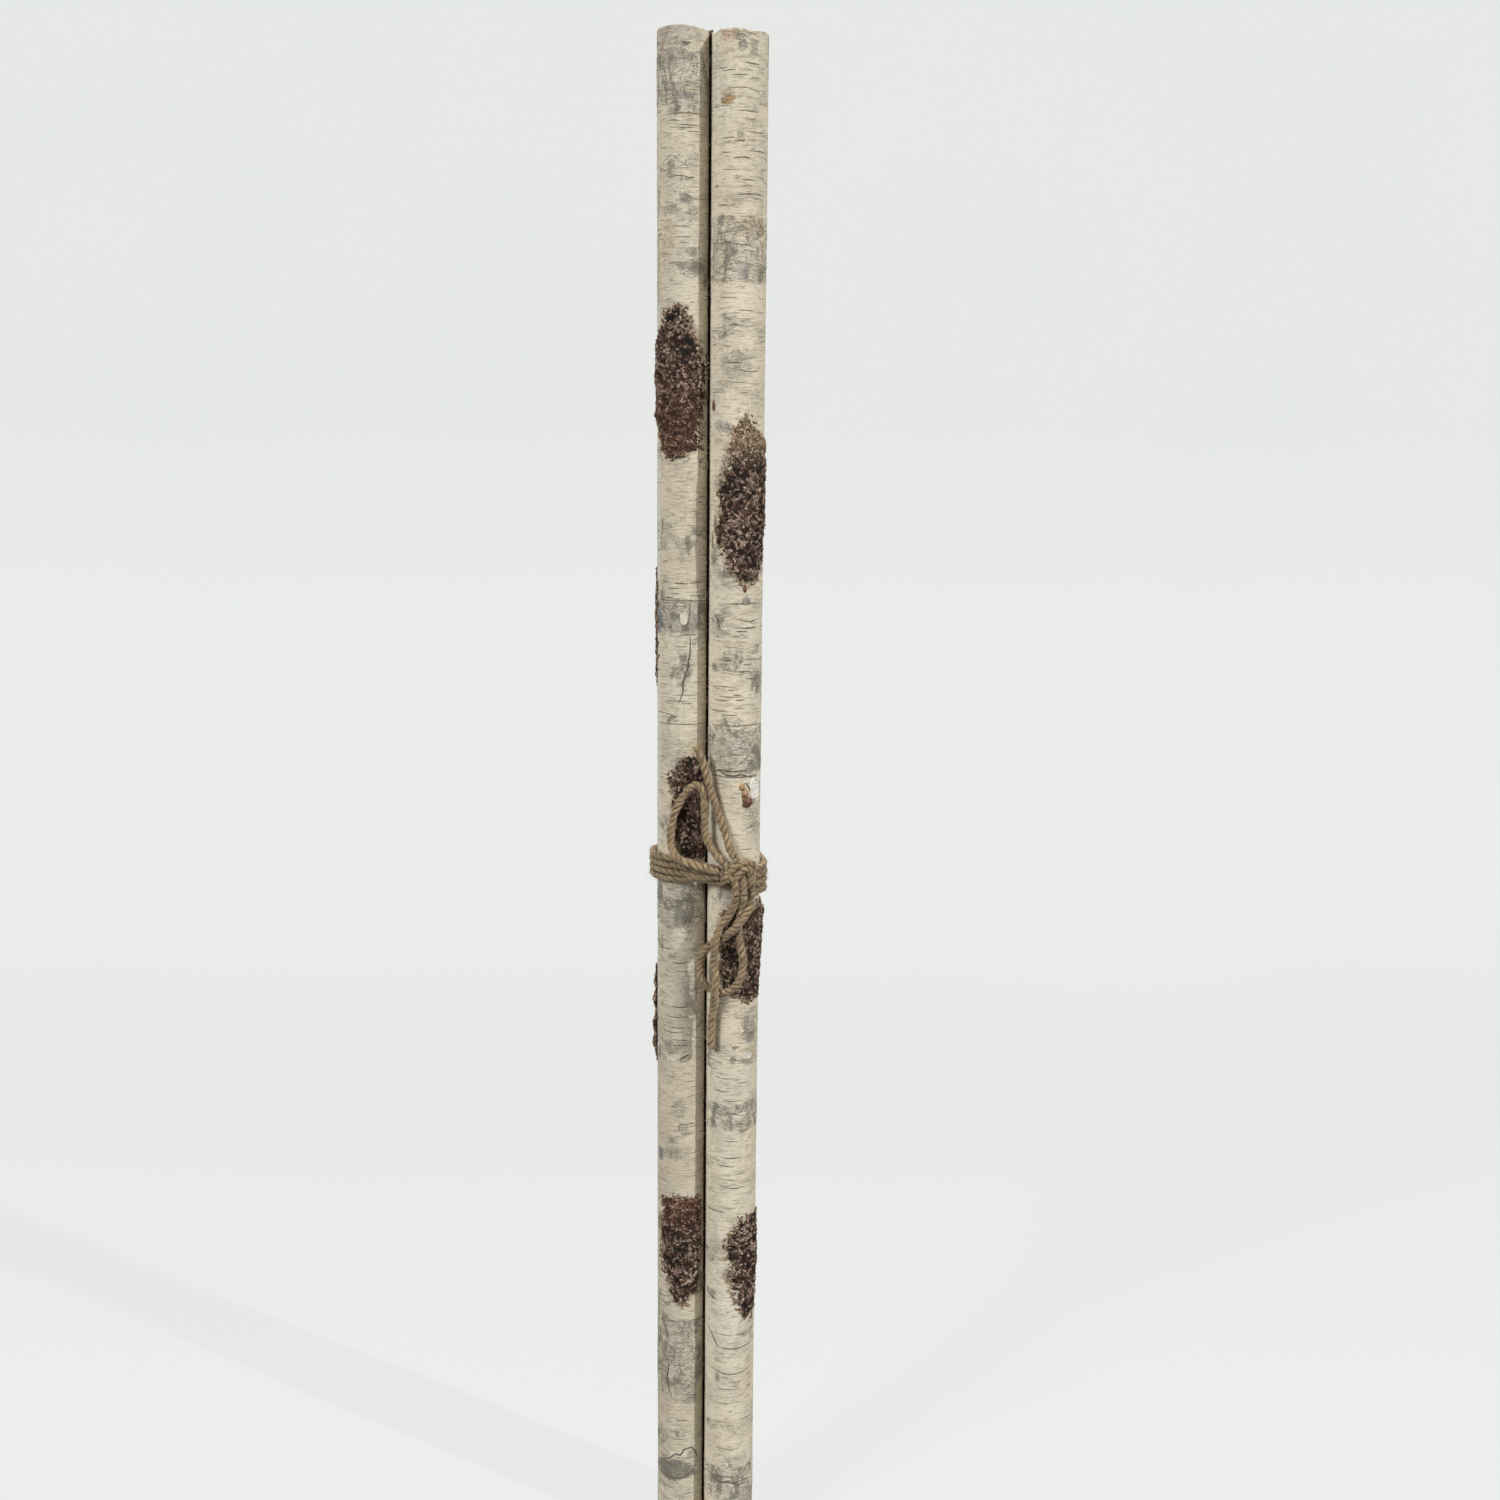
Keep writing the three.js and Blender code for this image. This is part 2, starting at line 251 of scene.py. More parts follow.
# Grains run from dark to light through these colours, at these tones.
GRAIN_TONES = [0, 0.3, 0.48, 0.6, 0.76, 1.0]
GRAIN_COLOURS = np.array([
    (0.012, 0.008, 0.006), (0.046, 0.025, 0.016), (0.15, 0.072, 0.046), (0.20, 0.135, 0.10),
    (0.40, 0.275, 0.215), (0.62, 0.46, 0.37),
])
RUST = np.array([0.25, 0.115, 0.072])
TAN = np.array([0.66, 0.48, 0.31])

# Colours of the bark, as linear red, green and blue.
CREAM = (0.66, 0.59, 0.465)
WARM_SHIFT = (0.05, -0.01, -0.05)
# Painted shade in the groove where two poles touch: near black close to the touching line, brown further out.
GROOVE_REACH = 12.5
GROOVE_FADE = 18
GROOVE_SHADE_OUTER = 36
STAIN_COLOURS = {
    "grey": (0.40, 0.37, 0.315),
    "dark": (0.17, 0.155, 0.135),
    "lilac": (0.385, 0.345, 0.315),
    "blue": (0.25, 0.265, 0.28),
    "brown": (0.36, 0.26, 0.18),
    "ochre": (0.50, 0.33, 0.15),
    "pink": (0.63, 0.48, 0.37),
    "green": (0.52, 0.535, 0.38),
    "white": (0.80, 0.77, 0.72),
    # Painted light: a pale strip down a pole's left edge, cool on the left pole and rosy on the right one.
    "cool_edge_light": (0.80, 0.80, 0.74),
    "rosy_edge_light": (0.88, 0.81, 0.72),
    # Painted shade over the lower half of the left pole.
    "shade": (0.50, 0.44, 0.34),
    "slate": (0.245, 0.23, 0.185),
    # Painted shade in the grooves where the poles touch, brown further out and near black close in.
    "groove_shade_brown": (0.34, 0.25, 0.165),
    "groove_shade_black": (0.036, 0.018, 0.011),
}

STAIN_SQUARENESS = 2.6
STAIN_WAVER = 0.75
KNOT_REACH = 1.5
KNOT_SQUASH = 1.15
# Painted light and painted shade among the stains, which bring no curling lines with them.
PLAIN_STAINS = ("groove_shade_black", "groove_shade_brown", "cool_edge_light", "rosy_edge_light", "shade")

# Colours that the patterns of the materials blend between, as linear red, green and blue.
CLOUD_GREY = (0.50, 0.44, 0.345)
FINE_BROWN = (0.35, 0.305, 0.235)
FINE_CREAM = (0.80, 0.75, 0.65)
LYING_BROWN = (0.30, 0.26, 0.20)
UPRIGHT_BROWN = (0.42, 0.37, 0.29)
SMOKE_DARK = (0.175, 0.165, 0.145)
SMOKE_PALE = (0.64, 0.61, 0.55)
WRINKLE_BROWN = (0.25, 0.215, 0.165)
SWIRL_BROWN = (0.17, 0.145, 0.115)
CURL_BROWN = (0.20, 0.17, 0.135)
DASH_BROWN = (0.19, 0.16, 0.125)
SAWN_PALE = (0.58, 0.44, 0.28)
SAWN_RING = (0.32, 0.20, 0.11)
SAWN_RIM = (0.28, 0.20, 0.13)
SAWN_PITH = (0.16, 0.09, 0.05)
SAW_LINE = (0.30, 0.21, 0.13)
STREAK_DARK = (0.17, 0.14, 0.125)
# Painted shade in the gaps between grains of rough bark, and a painted highlight on their high tops.
GAP_SHADE_BLACK = (0.008, 0.005, 0.003)
PINK_HIGHLIGHT = (0.78, 0.60, 0.50)
LENTICEL_DARK = (0.115, 0.093, 0.07)
LENTICEL_PALE = (0.40, 0.35, 0.27)
LENTICEL_WORN = (0.46, 0.41, 0.32)
SCRAP_CREAM = (0.60, 0.54, 0.43)
SCRAP_WHITE = (0.86, 0.84, 0.80)
SCRAP_TAN = (0.50, 0.42, 0.31)
STUB_TAN = (0.44, 0.28, 0.145)
STUB_BROWN = (0.13, 0.054, 0.027)
STUB_DARK = (0.05, 0.025, 0.015)
FIBRE_BROWN = (0.20, 0.128, 0.06)
FIBRE_STRAW = (0.82, 0.62, 0.38)
BUNDLE_BROWN = (0.12, 0.074, 0.034)
PATCH_BROWN = (0.36, 0.25, 0.135)
# Painted shade in the valleys between the twine's strands and in the creases where twine presses on twine.
VALLEY_SHADE = (0.06, 0.037, 0.018)
CREASE_SHADE = (0.022, 0.013, 0.007)
LOOSE_BROWN = (0.34, 0.235, 0.125)
LOOSE_STRAW = (0.64, 0.50, 0.32)

# Each stain is [height, angle, half its height, half its width in degrees, colour, strength].
# The first entry paints light down the pole's left edge, and the second paints shade over its lower half.
LEFT_STAINS = [
    [458, -74, 458, 17, "cool_edge_light", 0.75], [210, 0, 215, 80, "shade", 0.5], [910, -25, 6, 62, "lilac", 0.7],
    [900, -30, 6, 60, "lilac", 0.75], [906, 4, 1.3, 11, "dark", 0.95], [902, -4, 3.5, 8, "dark", 0.6],
    [905, -52, 3, 8, "brown", 0.7], [894, 1, 2.6, 6, "brown", 0.75], [899, -38, 1.5, 26, "dark", 0.5],
    [886, -18, 2.4, 48, "grey", 0.85], [880, -18, 2.6, 48, "grey", 0.95], [883, -40, 4, 26, "dark", 0.4],
    [843, -28, 4, 10, "brown", 0.6], [845, 20, 6, 12, "grey", 0.4], [830.5, 0, 1.4, 27, "dark", 0.65],
    [826, -66, 9, 7, "dark", 0.6], [821, -32, 3, 24, "dark", 0.6], [819.5, 16, 1.6, 14, "dark", 0.6],
    [799, 16, 3, 14, "dark", 0.65], [808, -34, 9, 20, "pink", 0.7], [790, -72, 17, 12, "green", 0.6],
    [598, -15, 9, 56, "grey", 0.85], [598, -62, 9, 12, "blue", 0.95], [604, -30, 2, 30, "dark", 0.5],
    [595, 22, 3, 17, "lilac", 0.95], [427, -10, 15, 52, "grey", 0.7], [430, -30, 3, 24, "dark", 0.55],
    [419, 8, 4, 22, "dark", 0.5], [377, 19, 11, 18, "dark", 0.55], [372, 24, 4, 12, "dark", 0.7],
    [339, -15, 4, 34, "grey", 0.75], [300, -6, 5, 16, "dark", 0.5], [268, -57, 4, 10, "blue", 0.9],
    [270, -23, 4, 22, "grey", 0.8], [146, 5, 12, 54, "grey", 0.7], [122, -8, 18, 52, "grey", 0.75],
    [136, -33, 7, 20, "dark", 0.8], [118, -45, 8, 14, "dark", 0.7], [106, 22, 5, 17, "dark", 0.8],
    [112, 4, 6, 26, "lilac", 0.6], [67, -12, 2.0, 36, "white", 0.4], [56, -15, 6.6, 50, "slate", 1.0],
    [63.5, -38, 2.2, 18, "dark", 0.4], [66, 26, 3.2, 11, "dark", 0.45], [844, -28, 3, 6, "dark", 0.6],
]
# The first entry paints light down the pole's left edge.
RIGHT_STAINS = [
    [458, -76, 458, 18, "rosy_edge_light", 0.6], [500, 52, 9, 15, "white", 0.95], [499.5, 71, 5, 8, "dark", 0.75],
    [494, 46, 4, 8, "dark", 0.7], [352, 39, 7, 12, "dark", 0.3], [858, 1, 3, 8, "dark", 0.4],
    [910, -24, 4, 16, "pink", 0.9], [904, 6, 3, 10, "grey", 0.9], [903, 30, 4, 12, "dark", 0.6],
    [907, 84, 6, 10, "dark", 0.9], [893, 86, 13, 7, "dark", 0.6], [877, -26, 2.6, 20, "ochre", 1.0],
    [881.5, -24, 2.4, 19, "ochre", 0.4], [817, -30, 1.6, 18, "dark", 0.7], [811, 30, 7, 46, "brown", 0.6],
    [806, -20, 6, 30, "grey", 0.5], [798, -55, 8, 12, "blue", 0.5], [789, 12, 5, 13, "lilac", 0.9],
    [739, -4, 8, 35, "grey", 0.5], [717, -58, 4, 6, "brown", 0.7], [705, -27, 4, 22, "lilac", 0.8],
    [609, 24, 2.5, 10, "lilac", 0.9], [603, -20, 3, 14, "grey", 0.6], [522, 10, 14, 76, "grey", 0.6],
    [516, -30, 5, 24, "dark", 0.35], [437, -5, 8, 34, "lilac", 0.85], [352, 44, 8, 20, "grey", 0.8],
    [338, 42, 5, 23, "ochre", 0.4], [334, 4, 3.4, 8, "dark", 0.85], [333, 30, 2, 24, "dark", 0.6],
    [303, -5, 2.6, 54, "grey", 0.85], [292, 35, 4, 21, "brown", 0.6], [276, -30, 2, 12, "grey", 0.8],
    [216, -40, 16, 14, "grey", 0.4], [125, -27, 2.5, 7, "grey", 0.9], [54, -37, 2.2, 9, "dark", 0.8],
    [42, 46, 8, 27, "grey", 0.85], [30, 74, 22, 12, "dark", 0.6],
]

# Each lenticel is [height, angle of its left end, angle of its right end, thickness, how far its middle
# is raised].
LEFT_LENTICELS = [
    [870.5, -40, 40, 0.8, 0.6], [867.5, -34, -8, 0.6, 0.2], [865, -8, 30, 0.7, 0.2],
    [861.5, 6, 34, 0.6, 0.2], [838, -30, 11, 0.6, 1.2], [812.7, -24, 13, 0.6, 0], [807, -18, 17, 0.6, 0],
    [793, -37, 13, 0.6, 0.4], [618, -19, 13, 0.9, 0], [615, -36, -6, 0.8, 0], [612, -28, -4, 0.6, 0],
    [611, 15, 40, 0.8, 0], [610, -45, -19, 0.7, -0.4], [607.8, -73, 60, 0.8, 0.4], [589, -2, 34, 0.8, -0.3],
    [581.5, -19, 9, 0.5, 0], [548.5, -5, 25, 0.6, 0.3], [536.5, -66, 60, 0.8, 0.2],
    [392.8, -23, 14, 0.9, -0.6], [387.2, -13, 18, 0.7, 0], [400, -58, -34, 0.6, 0.6],
    [405, -58, -30, 0.6, 0.8], [383, -52, -30, 0.6, 0.6], [372, -54, -34, 0.6, 0.5],
    [365, -23, 18, 0.9, -0.5], [358.8, -45, 18, 0.8, -0.8], [352, -30, 10, 0.8, -0.3],
    [349, -50, 5, 0.7, -0.6], [344, -20, 12, 0.8, 0], [341, -50, 0, 0.6, -0.4], [290, -6, 34, 0.8, -0.2],
    [283.8, -4, 34, 0.5, 0], [159.5, -62, 60, 0.7, -0.6], [90.7, -12, 19, 0.7, 0], [78, -30, 20, 0.6, -0.5],
    [48, -20, -8, 0.6, 0], [43, -50, -12, 0.7, -0.3], [39, 2, 30, 0.7, 0],
]
RIGHT_LENTICELS = [
    [895.5, 8, 44, 0.8, 0], [891.7, -38, -8, 0.6, 0], [888, 22, 44, 0.6, 0], [871, -5, 40, 0.7, 0.2],
    [867.2, 13, 35, 0.5, 0], [861, 15, 63, 0.7, -0.6], [857.4, -40, -3, 0.5, 0.2], [856, -10, 11, 1.1, 0],
    [850, -37, -15, 0.6, 0], [851, 31, 60, 0.8, 0], [847, -14, 26, 0.9, 0.3], [841.5, -37, 2, 0.4, 0],
    [828.2, -2, 62, 0.9, 0.6], [823, -47, -22, 0.6, 0], [804, -57, -15, 0.7, -0.5], [775, -40, -6, 0.6, 0],
    [768, 0, 40, 0.6, 0], [760, -20, 10, 0.5, 0], [730, -20, 20, 0.7, -0.4], [724, 0, 24, 0.6, 0.2],
    [607, -34, 70, 0.8, 0.4], [599, 6, 57, 0.9, -1.6], [594, 0, 53, 1.0, -0.3], [592, 2, 28, 0.9, -0.3],
    [589.2, -4, 10, 0.8, 0], [588.5, -52, -34, 0.6, 0], [586, -45, -31, 0.5, 0], [583, -26, 6, 0.5, 0],
    [580, 25, 70, 0.6, -0.9], [577, -28, -12, 0.7, -0.4], [575.5, -39, -12, 0.7, -0.3],
    [575.5, 17, 60, 0.6, 0.2], [572.5, 17, 39, 1.0, 0], [569, 5, 37, 0.9, 0], [565.5, 22, 55, 0.9, -0.8],
    [559.8, -58, 3, 0.5, 0.3], [558, -16, 1, 0.6, 0], [555.4, -5, 16, 0.8, 0], [552.6, -50, -10, 0.7, -1.0],
    [552.5, 1, 23, 0.8, 0], [537.2, -57, 84, 0.8, 0.2], [508, -60, 60, 1.0, -0.6],
    [323.3, -40, 8, 0.6, -0.4], [320, 10, 44, 0.6, 0], [314.5, -46, -3, 0.7, 0], [309, -20, 30, 0.6, -0.3],
    [300, -50, 20, 0.6, 0], [290, 14, 50, 0.6, -1.2], [283, -20, 20, 0.5, 0], [272.2, -25, 26, 0.7, -0.4],
    [266.8, -35, 10, 0.7, 0], [258, -30, 20, 0.6, 0], [253.4, -24, 35, 0.8, -0.8],
    [146, -28, 62, 1.0, -0.6], [130.5, -47, 63, 0.9, -2.2], [107.8, -34, 15, 0.6, 0],
    [94.5, -42, 10, 0.6, 0.4], [76.5, -30, 29, 0.6, 0], [62, 10, 40, 0.6, -0.8], [52.4, -24, 55, 1.0, 0.8],
]

# Each crack is a line of [height, angle].
LEFT_CRACKS = [
    [[588, 16], [578, 16], [570, 11.5], [561, 1], [555, 1], [549, -8]],
    [[335, 18], [333, 4], [331, -8]],
    [[106, -22], [112, -30], [120, -34], [128, -30], [131, -22]],
    [[60, -58], [62.6, -31], [67, -13], [66.5, 0], [70.3, 7], [71.2, 26], [66, 38], [61.5, 43]],
    [[51, -60], [50.4, -32], [49.8, -11], [50.8, 8], [54.6, 27], [58.5, 36]],
]
RIGHT_CRACKS = [
    [[181, -66], [179, -48], [177, -30]],
    [[158, -64], [153, -44], [148, -32], [146, -26]],
    [[601, -50], [598, -40], [592, -34]],
    [[509.4, -58], [510.8, -32], [508.5, -17], [508.2, 2], [508.9, 17], [507, 37], [507.2, 60]],
    [[511.4, -40], [511, -15], [510.8, 2], [511.4, 30]],
    [[57.5, -35], [53, -27], [53, -14], [54.2, 0], [52.4, 12], [50.4, 30], [51.4, 47], [53, 60]],
    [[504, 26], [501, 34], [497.5, 41], [493, 55]],
]
# Knots in the bark, where its lines run in rings: [height, angle, radius].
LEFT_KNOTS = [
    [843.9, -28, 8], [847, -1, 5], [845.5, 13, 5], [894, 14, 5], [903, 0, 6], [137, -26, 9], [118, 8, 12],
    [148, 10, 7], [598, 8, 7], [427, -34, 7], [415, 14, 7], [271, -20, 5],
]
RIGHT_KNOTS = [
    [353, 39, 9], [903, 28, 7], [856.6, 2, 3.5], [806, 24, 7], [796, -10, 6], [741, -4, 8], [527, 8, 9],
    [521, 45, 7], [303, -20, 6], [334, 6, 4], [54, -35, 5], [46, 50, 7],
]

# Each peeled scrap is [pole, height, angle, its own height, its width in degrees, how far its free edge
# lifts, whiteness].
PEELS = [
    ["left", 598, 2, 9, 19, 0.5, 0.35], ["left", 332, -24, 3.4, 30, 0.4, 0.3],
    ["left", 583, -40, 5, 10, 0.4, 0], ["right", 500, 49, 15, 28, 1.3, 0.9],
    ["right", 654, -52, 7, 7, 0.9, 0.1], ["right", 643, -60, 9, 6, 0.9, 0.1],
    ["right", 337, 36, 6, 34, 0.5, 0.3], ["right", 196, -34, 1.6, 8, 0.5, 0.8],
    ["left", 689, 2, 6, 20, 0.6, 0.1], ["right", 627, -30, 4, 10, 0.5, 0.1],
    ["back", 610, 150, 12, 20, 0.9, 0.4], ["back", 300, 190, 6, 24, 0.6, 0.3],
    ["back", 742, 120, 9, 14, 0.8, 0.2], ["left", 470, -150, 8, 16, 0.8, 0.3],
]

# Each stub is [pole, height, angle, radius, how much taller than wide, shade from tan to brown].
STUBS = [
    ["right", 492.3, 31, 3.6, 1.0, 1.0], ["right", 497, 25, 2.6, 1.4, 0.5],
    ["right", 501.5, 18, 1.9, 1.3, 0.3], ["right", 717, -57, 1.8, 1.6, 0.9],
    ["right", 616, 20, 1.2, 2.2, 0.8], ["back", 528, 96, 3.0, 1.2, 0.8],
]

POLES = {
    "left": {
        "seed": 11, "paleness": 1.03, "row": BARK_ROW, "grain": GRAIN_STEP,
        "rings": [[889, 26], [600, 18], [428, 24], [137, 44]],
        "crusts": {
            "upper": TALL_CRUST, "bow": BOW_CRUST, "edge": EDGE_CRUST, "lower": SQUARE_CRUST,
            "rear": moved(SQUARE_CRUST, 382, -128),
        },
        "stains": LEFT_STAINS, "lenticels": LEFT_LENTICELS, "cracks": LEFT_CRACKS, "knots": LEFT_KNOTS,
    },
    "right": {
        "seed": 47, "paleness": 1.17, "row": BARK_ROW, "grain": GRAIN_STEP,
        "rings": [[800, 34], [523, 26], [298, 16], [52, 22]],
        "crusts": {
            "upper": SPEAR_CRUST, "bow": LOW_BOW_CRUST, "lower": SLANTED_CRUST,
            "rear": moved(EDGE_CRUST, 168, 252),
        },
        "stains": RIGHT_STAINS, "lenticels": RIGHT_LENTICELS, "cracks": RIGHT_CRACKS, "knots": RIGHT_KNOTS,
    },
    "back": {
        "seed": 83, "paleness": 1.04, "row": BACK_ROW, "grain": BACK_GRAIN_STEP,
        "rings": [[850, 20], [566, 30], [322, 22], [96, 30]],
        "crusts": {
            "upper": moved(SPEAR_CRUST, 62, 98), "middle": moved(SQUARE_CRUST, 160, 226),
            "lower": moved(SLANTED_CRUST, -42, 130),
        },
        "stains": [], "lenticels": [], "cracks": [],
        "knots": [[850, 150, 8], [840, 190, 6], [566, 130, 9], [560, 170, 7], [322, 200, 8], [96, 160, 9]],
    },
}

# The routes of the bow's loops and tails, from the knot outwards.
CORD_ROUTES = {
    "twine_tail_upper": [
        [16, -34.6, 461.5], [13, -32.5, 466.5], [10, -30.2, 475.5], [8, -29, 481.5], [4.5, -28, 491.5],
        [2, -27.6, 498.5], [-0.5, -27.8, 508], [-3, -27.5, 517], [-6.5, -26.4, 524],
    ],
    "twine_loop_upper": [
        [9.8, -34, 458], [5.5, -31, 461.6], [1.5, -28, 466.5], [-1, -27.5, 473.5], [-1.5, -27.5, 484],
        [-2, -27.5, 494], [-3.5, -27.1, 500.5], [-7, -26, 502.3], [-12, -25, 498], [-17.5, -23.5, 489.5],
        [-21, -22.3, 477.5], [-21.5, -22.6, 467], [-19.5, -25.3, 461], [-14.5, -27.7, 457],
        [-4, -30.2, 454.5], [7.5, -33.4, 452],
    ],
    "twine_tail_lower": [
        [16.5, -34.9, 438.8], [16.2, -33.6, 434], [13, -32.5, 426.5], [8.5, -31.8, 420], [5.5, -33.2, 413],
        [4.5, -32.9, 405.5], [4.5, -30, 394.5], [5.5, -31.6, 387], [5, -32.8, 380], [4, -30.5, 371.5],
        [3.5, -28, 363.5], [3, -27.9, 354], [3, -27.9, 342.5],
    ],
    "twine_loop_lower": [
        [26.2, -31, 441], [25.4, -30.2, 434], [23.4, -33, 428], [18.5, -35.6, 421.5], [13, -32, 415],
        [8, -29.7, 410], [1, -27.4, 405.5], [-3, -26.4, 399], [-4, -26.4, 392], [-3, -26.9, 385],
        [1.5, -27.6, 380], [7.5, -29, 378], [13.5, -31, 379.5], [18.5, -31.3, 384.5], [21, -30.6, 391.5],
        [21, -30.6, 399.5], [20, -31, 408], [18.5, -31, 415.5], [18.5, -31.1, 421.5], [19.8, -31.2, 429],
        [21, -32.5, 434], [21.4, -34.4, 439],
    ],
}
# The knot's strands: three from the upper tail and loop, one from the lower loop, two that pass over them
# and one to the lower tail.
KNOT_STRANDS = [
    [[16, -34.6, 461.5], [18.5, -34.4, 456], [20.5, -33.4, 450]],
    [[9.8, -34, 458], [13.5, -34.3, 453.5], [17, -33.4, 449]],
    [[7.5, -33.4, 452], [12, -33.6, 450.5], [17, -33.4, 449.5]],
    [[20, -33.6, 454], [21, -34.2, 447], [21.4, -34.4, 439]],
    [[9.5, -32.6, 445.5], [10.8, -34.8, 449.5], [14, -35.4, 454], [18.5, -35.4, 457.6], [23, -34.8, 459],
     [26.4, -33.4, 457], [28, -31.6, 453]],
    [[15.5, -34.6, 447.5], [18, -35.6, 451.5], [21.6, -35.7, 455], [25, -35, 454.6], [26, -34.4, 450.5],
     [25.8, -33.6, 446], [26.2, -31, 441]],
    [[11.5, -34, 447.4], [14.5, -35.5, 449.2], [16.6, -35.7, 446.4], [16.8, -35.4, 442.5],
     [16.5, -34.9, 438.8]],
]
# Where the turns of twine cross the knot: their heights and how far each lies over the ones beneath.
KNOT_CROSSING_HEIGHTS = [453.4, 450.4, 444.4, 448.6, 441]
KNOT_CROSSING_LIFTS = [2.0, 0, 0, 1.8, 0]
CONVERGING_LEFT = [6, 44]
CONVERGING_RIGHT = [1, 11]


# Noise and shapes on a pole's skin.


def smooth(value):
    return value * value * (3 - 2 * value)


def between(value, low, high):
    """0 below low, 1 above high, with a smooth change between them."""
    return smooth(np.clip((value - low) / (high - low), 0, 1))


def scatter(a, b, seed):
    """A repeatable number from 0 to 1 for each pair of whole numbers."""
    wave = np.sin(a * 12.9898 + b * 78.233 + seed * 37.719) * 43758.5453
    return wave - np.floor(wave)


def cell_noise(angle, height, columns, cell, seed):
    """Smooth noise from 0 to 1 that meets itself round the pole. A cell is that many millimetres high."""
    x = np.mod(angle / 360, 1) * columns
    y = height / cell + 7
    column = np.floor(x)
    row = np.floor(y)
    across = smooth(x - column)
    up = smooth(y - row)
    following = np.mod(column + 1, columns)
    column = np.mod(column, columns)
    low = scatter(column, row, seed) * (1 - across) + scatter(following, row, seed) * across
    high = scatter(column, row + 1, seed) * (1 - across) + scatter(following, row + 1, seed) * across
    return low * (1 - up) + high * up


def skin_noise(kind, angle, height, seed):
    """Noise of a named kind, from 0 to 1, in finer and finer layers."""
    columns, cell, layers, own_seed = NOISES[kind]
    total = np.zeros(np.shape(angle + height))
    weights = 0
    for layer in range(layers):
        share = 0.5 ** layer
        finer = 2 ** layer
        layer_seed = seed + own_seed + layer
        total = total + share * cell_noise(angle, height, columns * finer, cell / finer, layer_seed)
        weights += share
    return total / weights


def swing(kind, angle, height, seed):
    """The same noise, from -0.5 to 0.5."""
    return skin_noise(kind, angle, height, seed) - 0.5


def turn_between(a, b):
    """The angle from b to a, from -180 to 180 degrees."""
    return np.mod(a - b + 180, 360) - 180


def pole_axes():
    turn = math.radians(PAIR_TURN)
    middle = np.array([0, -PAIR_SETBACK])
    along = np.array([math.cos(turn), -math.sin(turn)])
    behind = np.array([math.sin(turn), math.cos(turn)])
    return {
        "left": middle - along * POLE_SPACING / 2,
        "right": middle + along * POLE_SPACING / 2,
        "back": middle + behind * POLE_SPACING * math.sqrt(3) / 2,
    }


AXES = pole_axes()


def touching_angles(name):
    """The angles at which a pole touches the other two."""
    found = []
    for other in AXES:
        if other != name:
            away = AXES[other] - AXES[name]
            found.append(math.degrees(math.atan2(away[0], -away[1])))
    return found


def on_pole(name, angle, radius, height):
    """Points of the part's frame, as an array with x, y and z last."""
    turn = np.radians(angle)
    x = AXES[name][0] + radius * np.sin(turn)
    y = AXES[name][1] - radius * np.cos(turn)
    return np.stack([x, y, height + np.zeros(np.shape(x))], axis=-1)


def crust_reach(outline, angle, height):
    """How far a place lies inside a crust's outline, in millimetres. It is negative outside."""
    levels = [row[0] for row in outline]
    start = np.interp(height, levels, [row[1] for row in outline])
    end = np.interp(height, levels, [row[2] for row in outline])
    off_middle = np.abs(turn_between(angle, (start + end) / 2))
    sideways = np.radians((end - start) / 2 - off_middle) * POLE_RADIUS
    upright = np.minimum(height - levels[0], levels[-1] - height)
    return np.minimum(sideways, upright)


def ring_share(name, height):
    """1 inside a band of wrinkled bark and 0 outside, with narrow slopes."""
    share = np.zeros(np.shape(height))
    for middle, tall in POLES[name]["rings"]:
        share = np.maximum(share, between(tall / 2 - np.abs(height - middle), -1.2, 0.6))
    return share


def bark_radius(name, angle, height):
    """Radius of the bark's surface, with its wrinkles, swellings and raised rings."""
    seed = POLES[name]["seed"]
    wavy = height + WRINKLE_WAVER * swing("waves", angle, height, seed)
    wrinkles = WRINKLE_RISE * swing("wrinkles", angle, wavy, seed)
    swelling = SWELLING_RISE * swing("swellings", angle, height, seed)
    warped = angle + MAZE_WARP * swing("warps", angle, height, seed)
    maze = np.abs(swing("maze", warped, height, seed)) * 2
    in_ring = ring_share(name, wavy)
    furrow = MAZE_DEPTH * (MAZE_WIDTH - np.minimum(maze, MAZE_WIDTH))
    rise = wrinkles + swelling + in_ring * (RING_RISE - furrow)
    for touching in touching_angles(name):
        near = 1 - between(np.abs(turn_between(angle, touching)), TOUCH_ZONE * 0.5, TOUCH_ZONE)
        rise = rise * (1 - near) + np.minimum(rise, TOUCH_RISE) * near
    return BARK_BASE + rise


# Meshes.


def grid_faces(rows, columns, closed):
    """Quads of a grid of points. A closed grid joins its last column to its first."""
    wide = columns if closed else columns - 1
    row, column = np.meshgrid(np.arange(rows - 1), np.arange(wide), indexing="ij")
    following = (column + 1) % columns
    corners = [row * columns + column, row * columns + following]
    corners += [(row + 1) * columns + following, (row + 1) * columns + column]
    return np.stack(corners, axis=-1).reshape(-1, 4)


def tube_faces(rows, columns, downwards=False):
    """Quads of a closed grid and a cap on each end. The rows of some grids run downwards."""
    start = list(range(columns))
    end = [(rows - 1) * columns + side for side in range(columns)]
    caps = [start, end[::-1]] if downwards else [start[::-1], end]
    return grid_faces(rows, columns, closed=True).tolist() + caps


def mesh_piece(name, points, faces, material):
    """A smooth mesh piece from points in millimetres. It rides on the bundle and has one material."""
    mesh = bpy.data.meshes.new(name)
    mesh.from_pydata((points.reshape(-1, 3) * MM).tolist(), [], [list(face) for face in faces])
    mesh.materials.append(material)
    mesh.polygons.foreach_set("use_smooth", [True] * len(mesh.polygons))
    mesh.update()
    piece = bpy.data.objects.new(name, mesh)
    bpy.context.scene.collection.objects.link(piece)
    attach(piece, "root")
    return piece


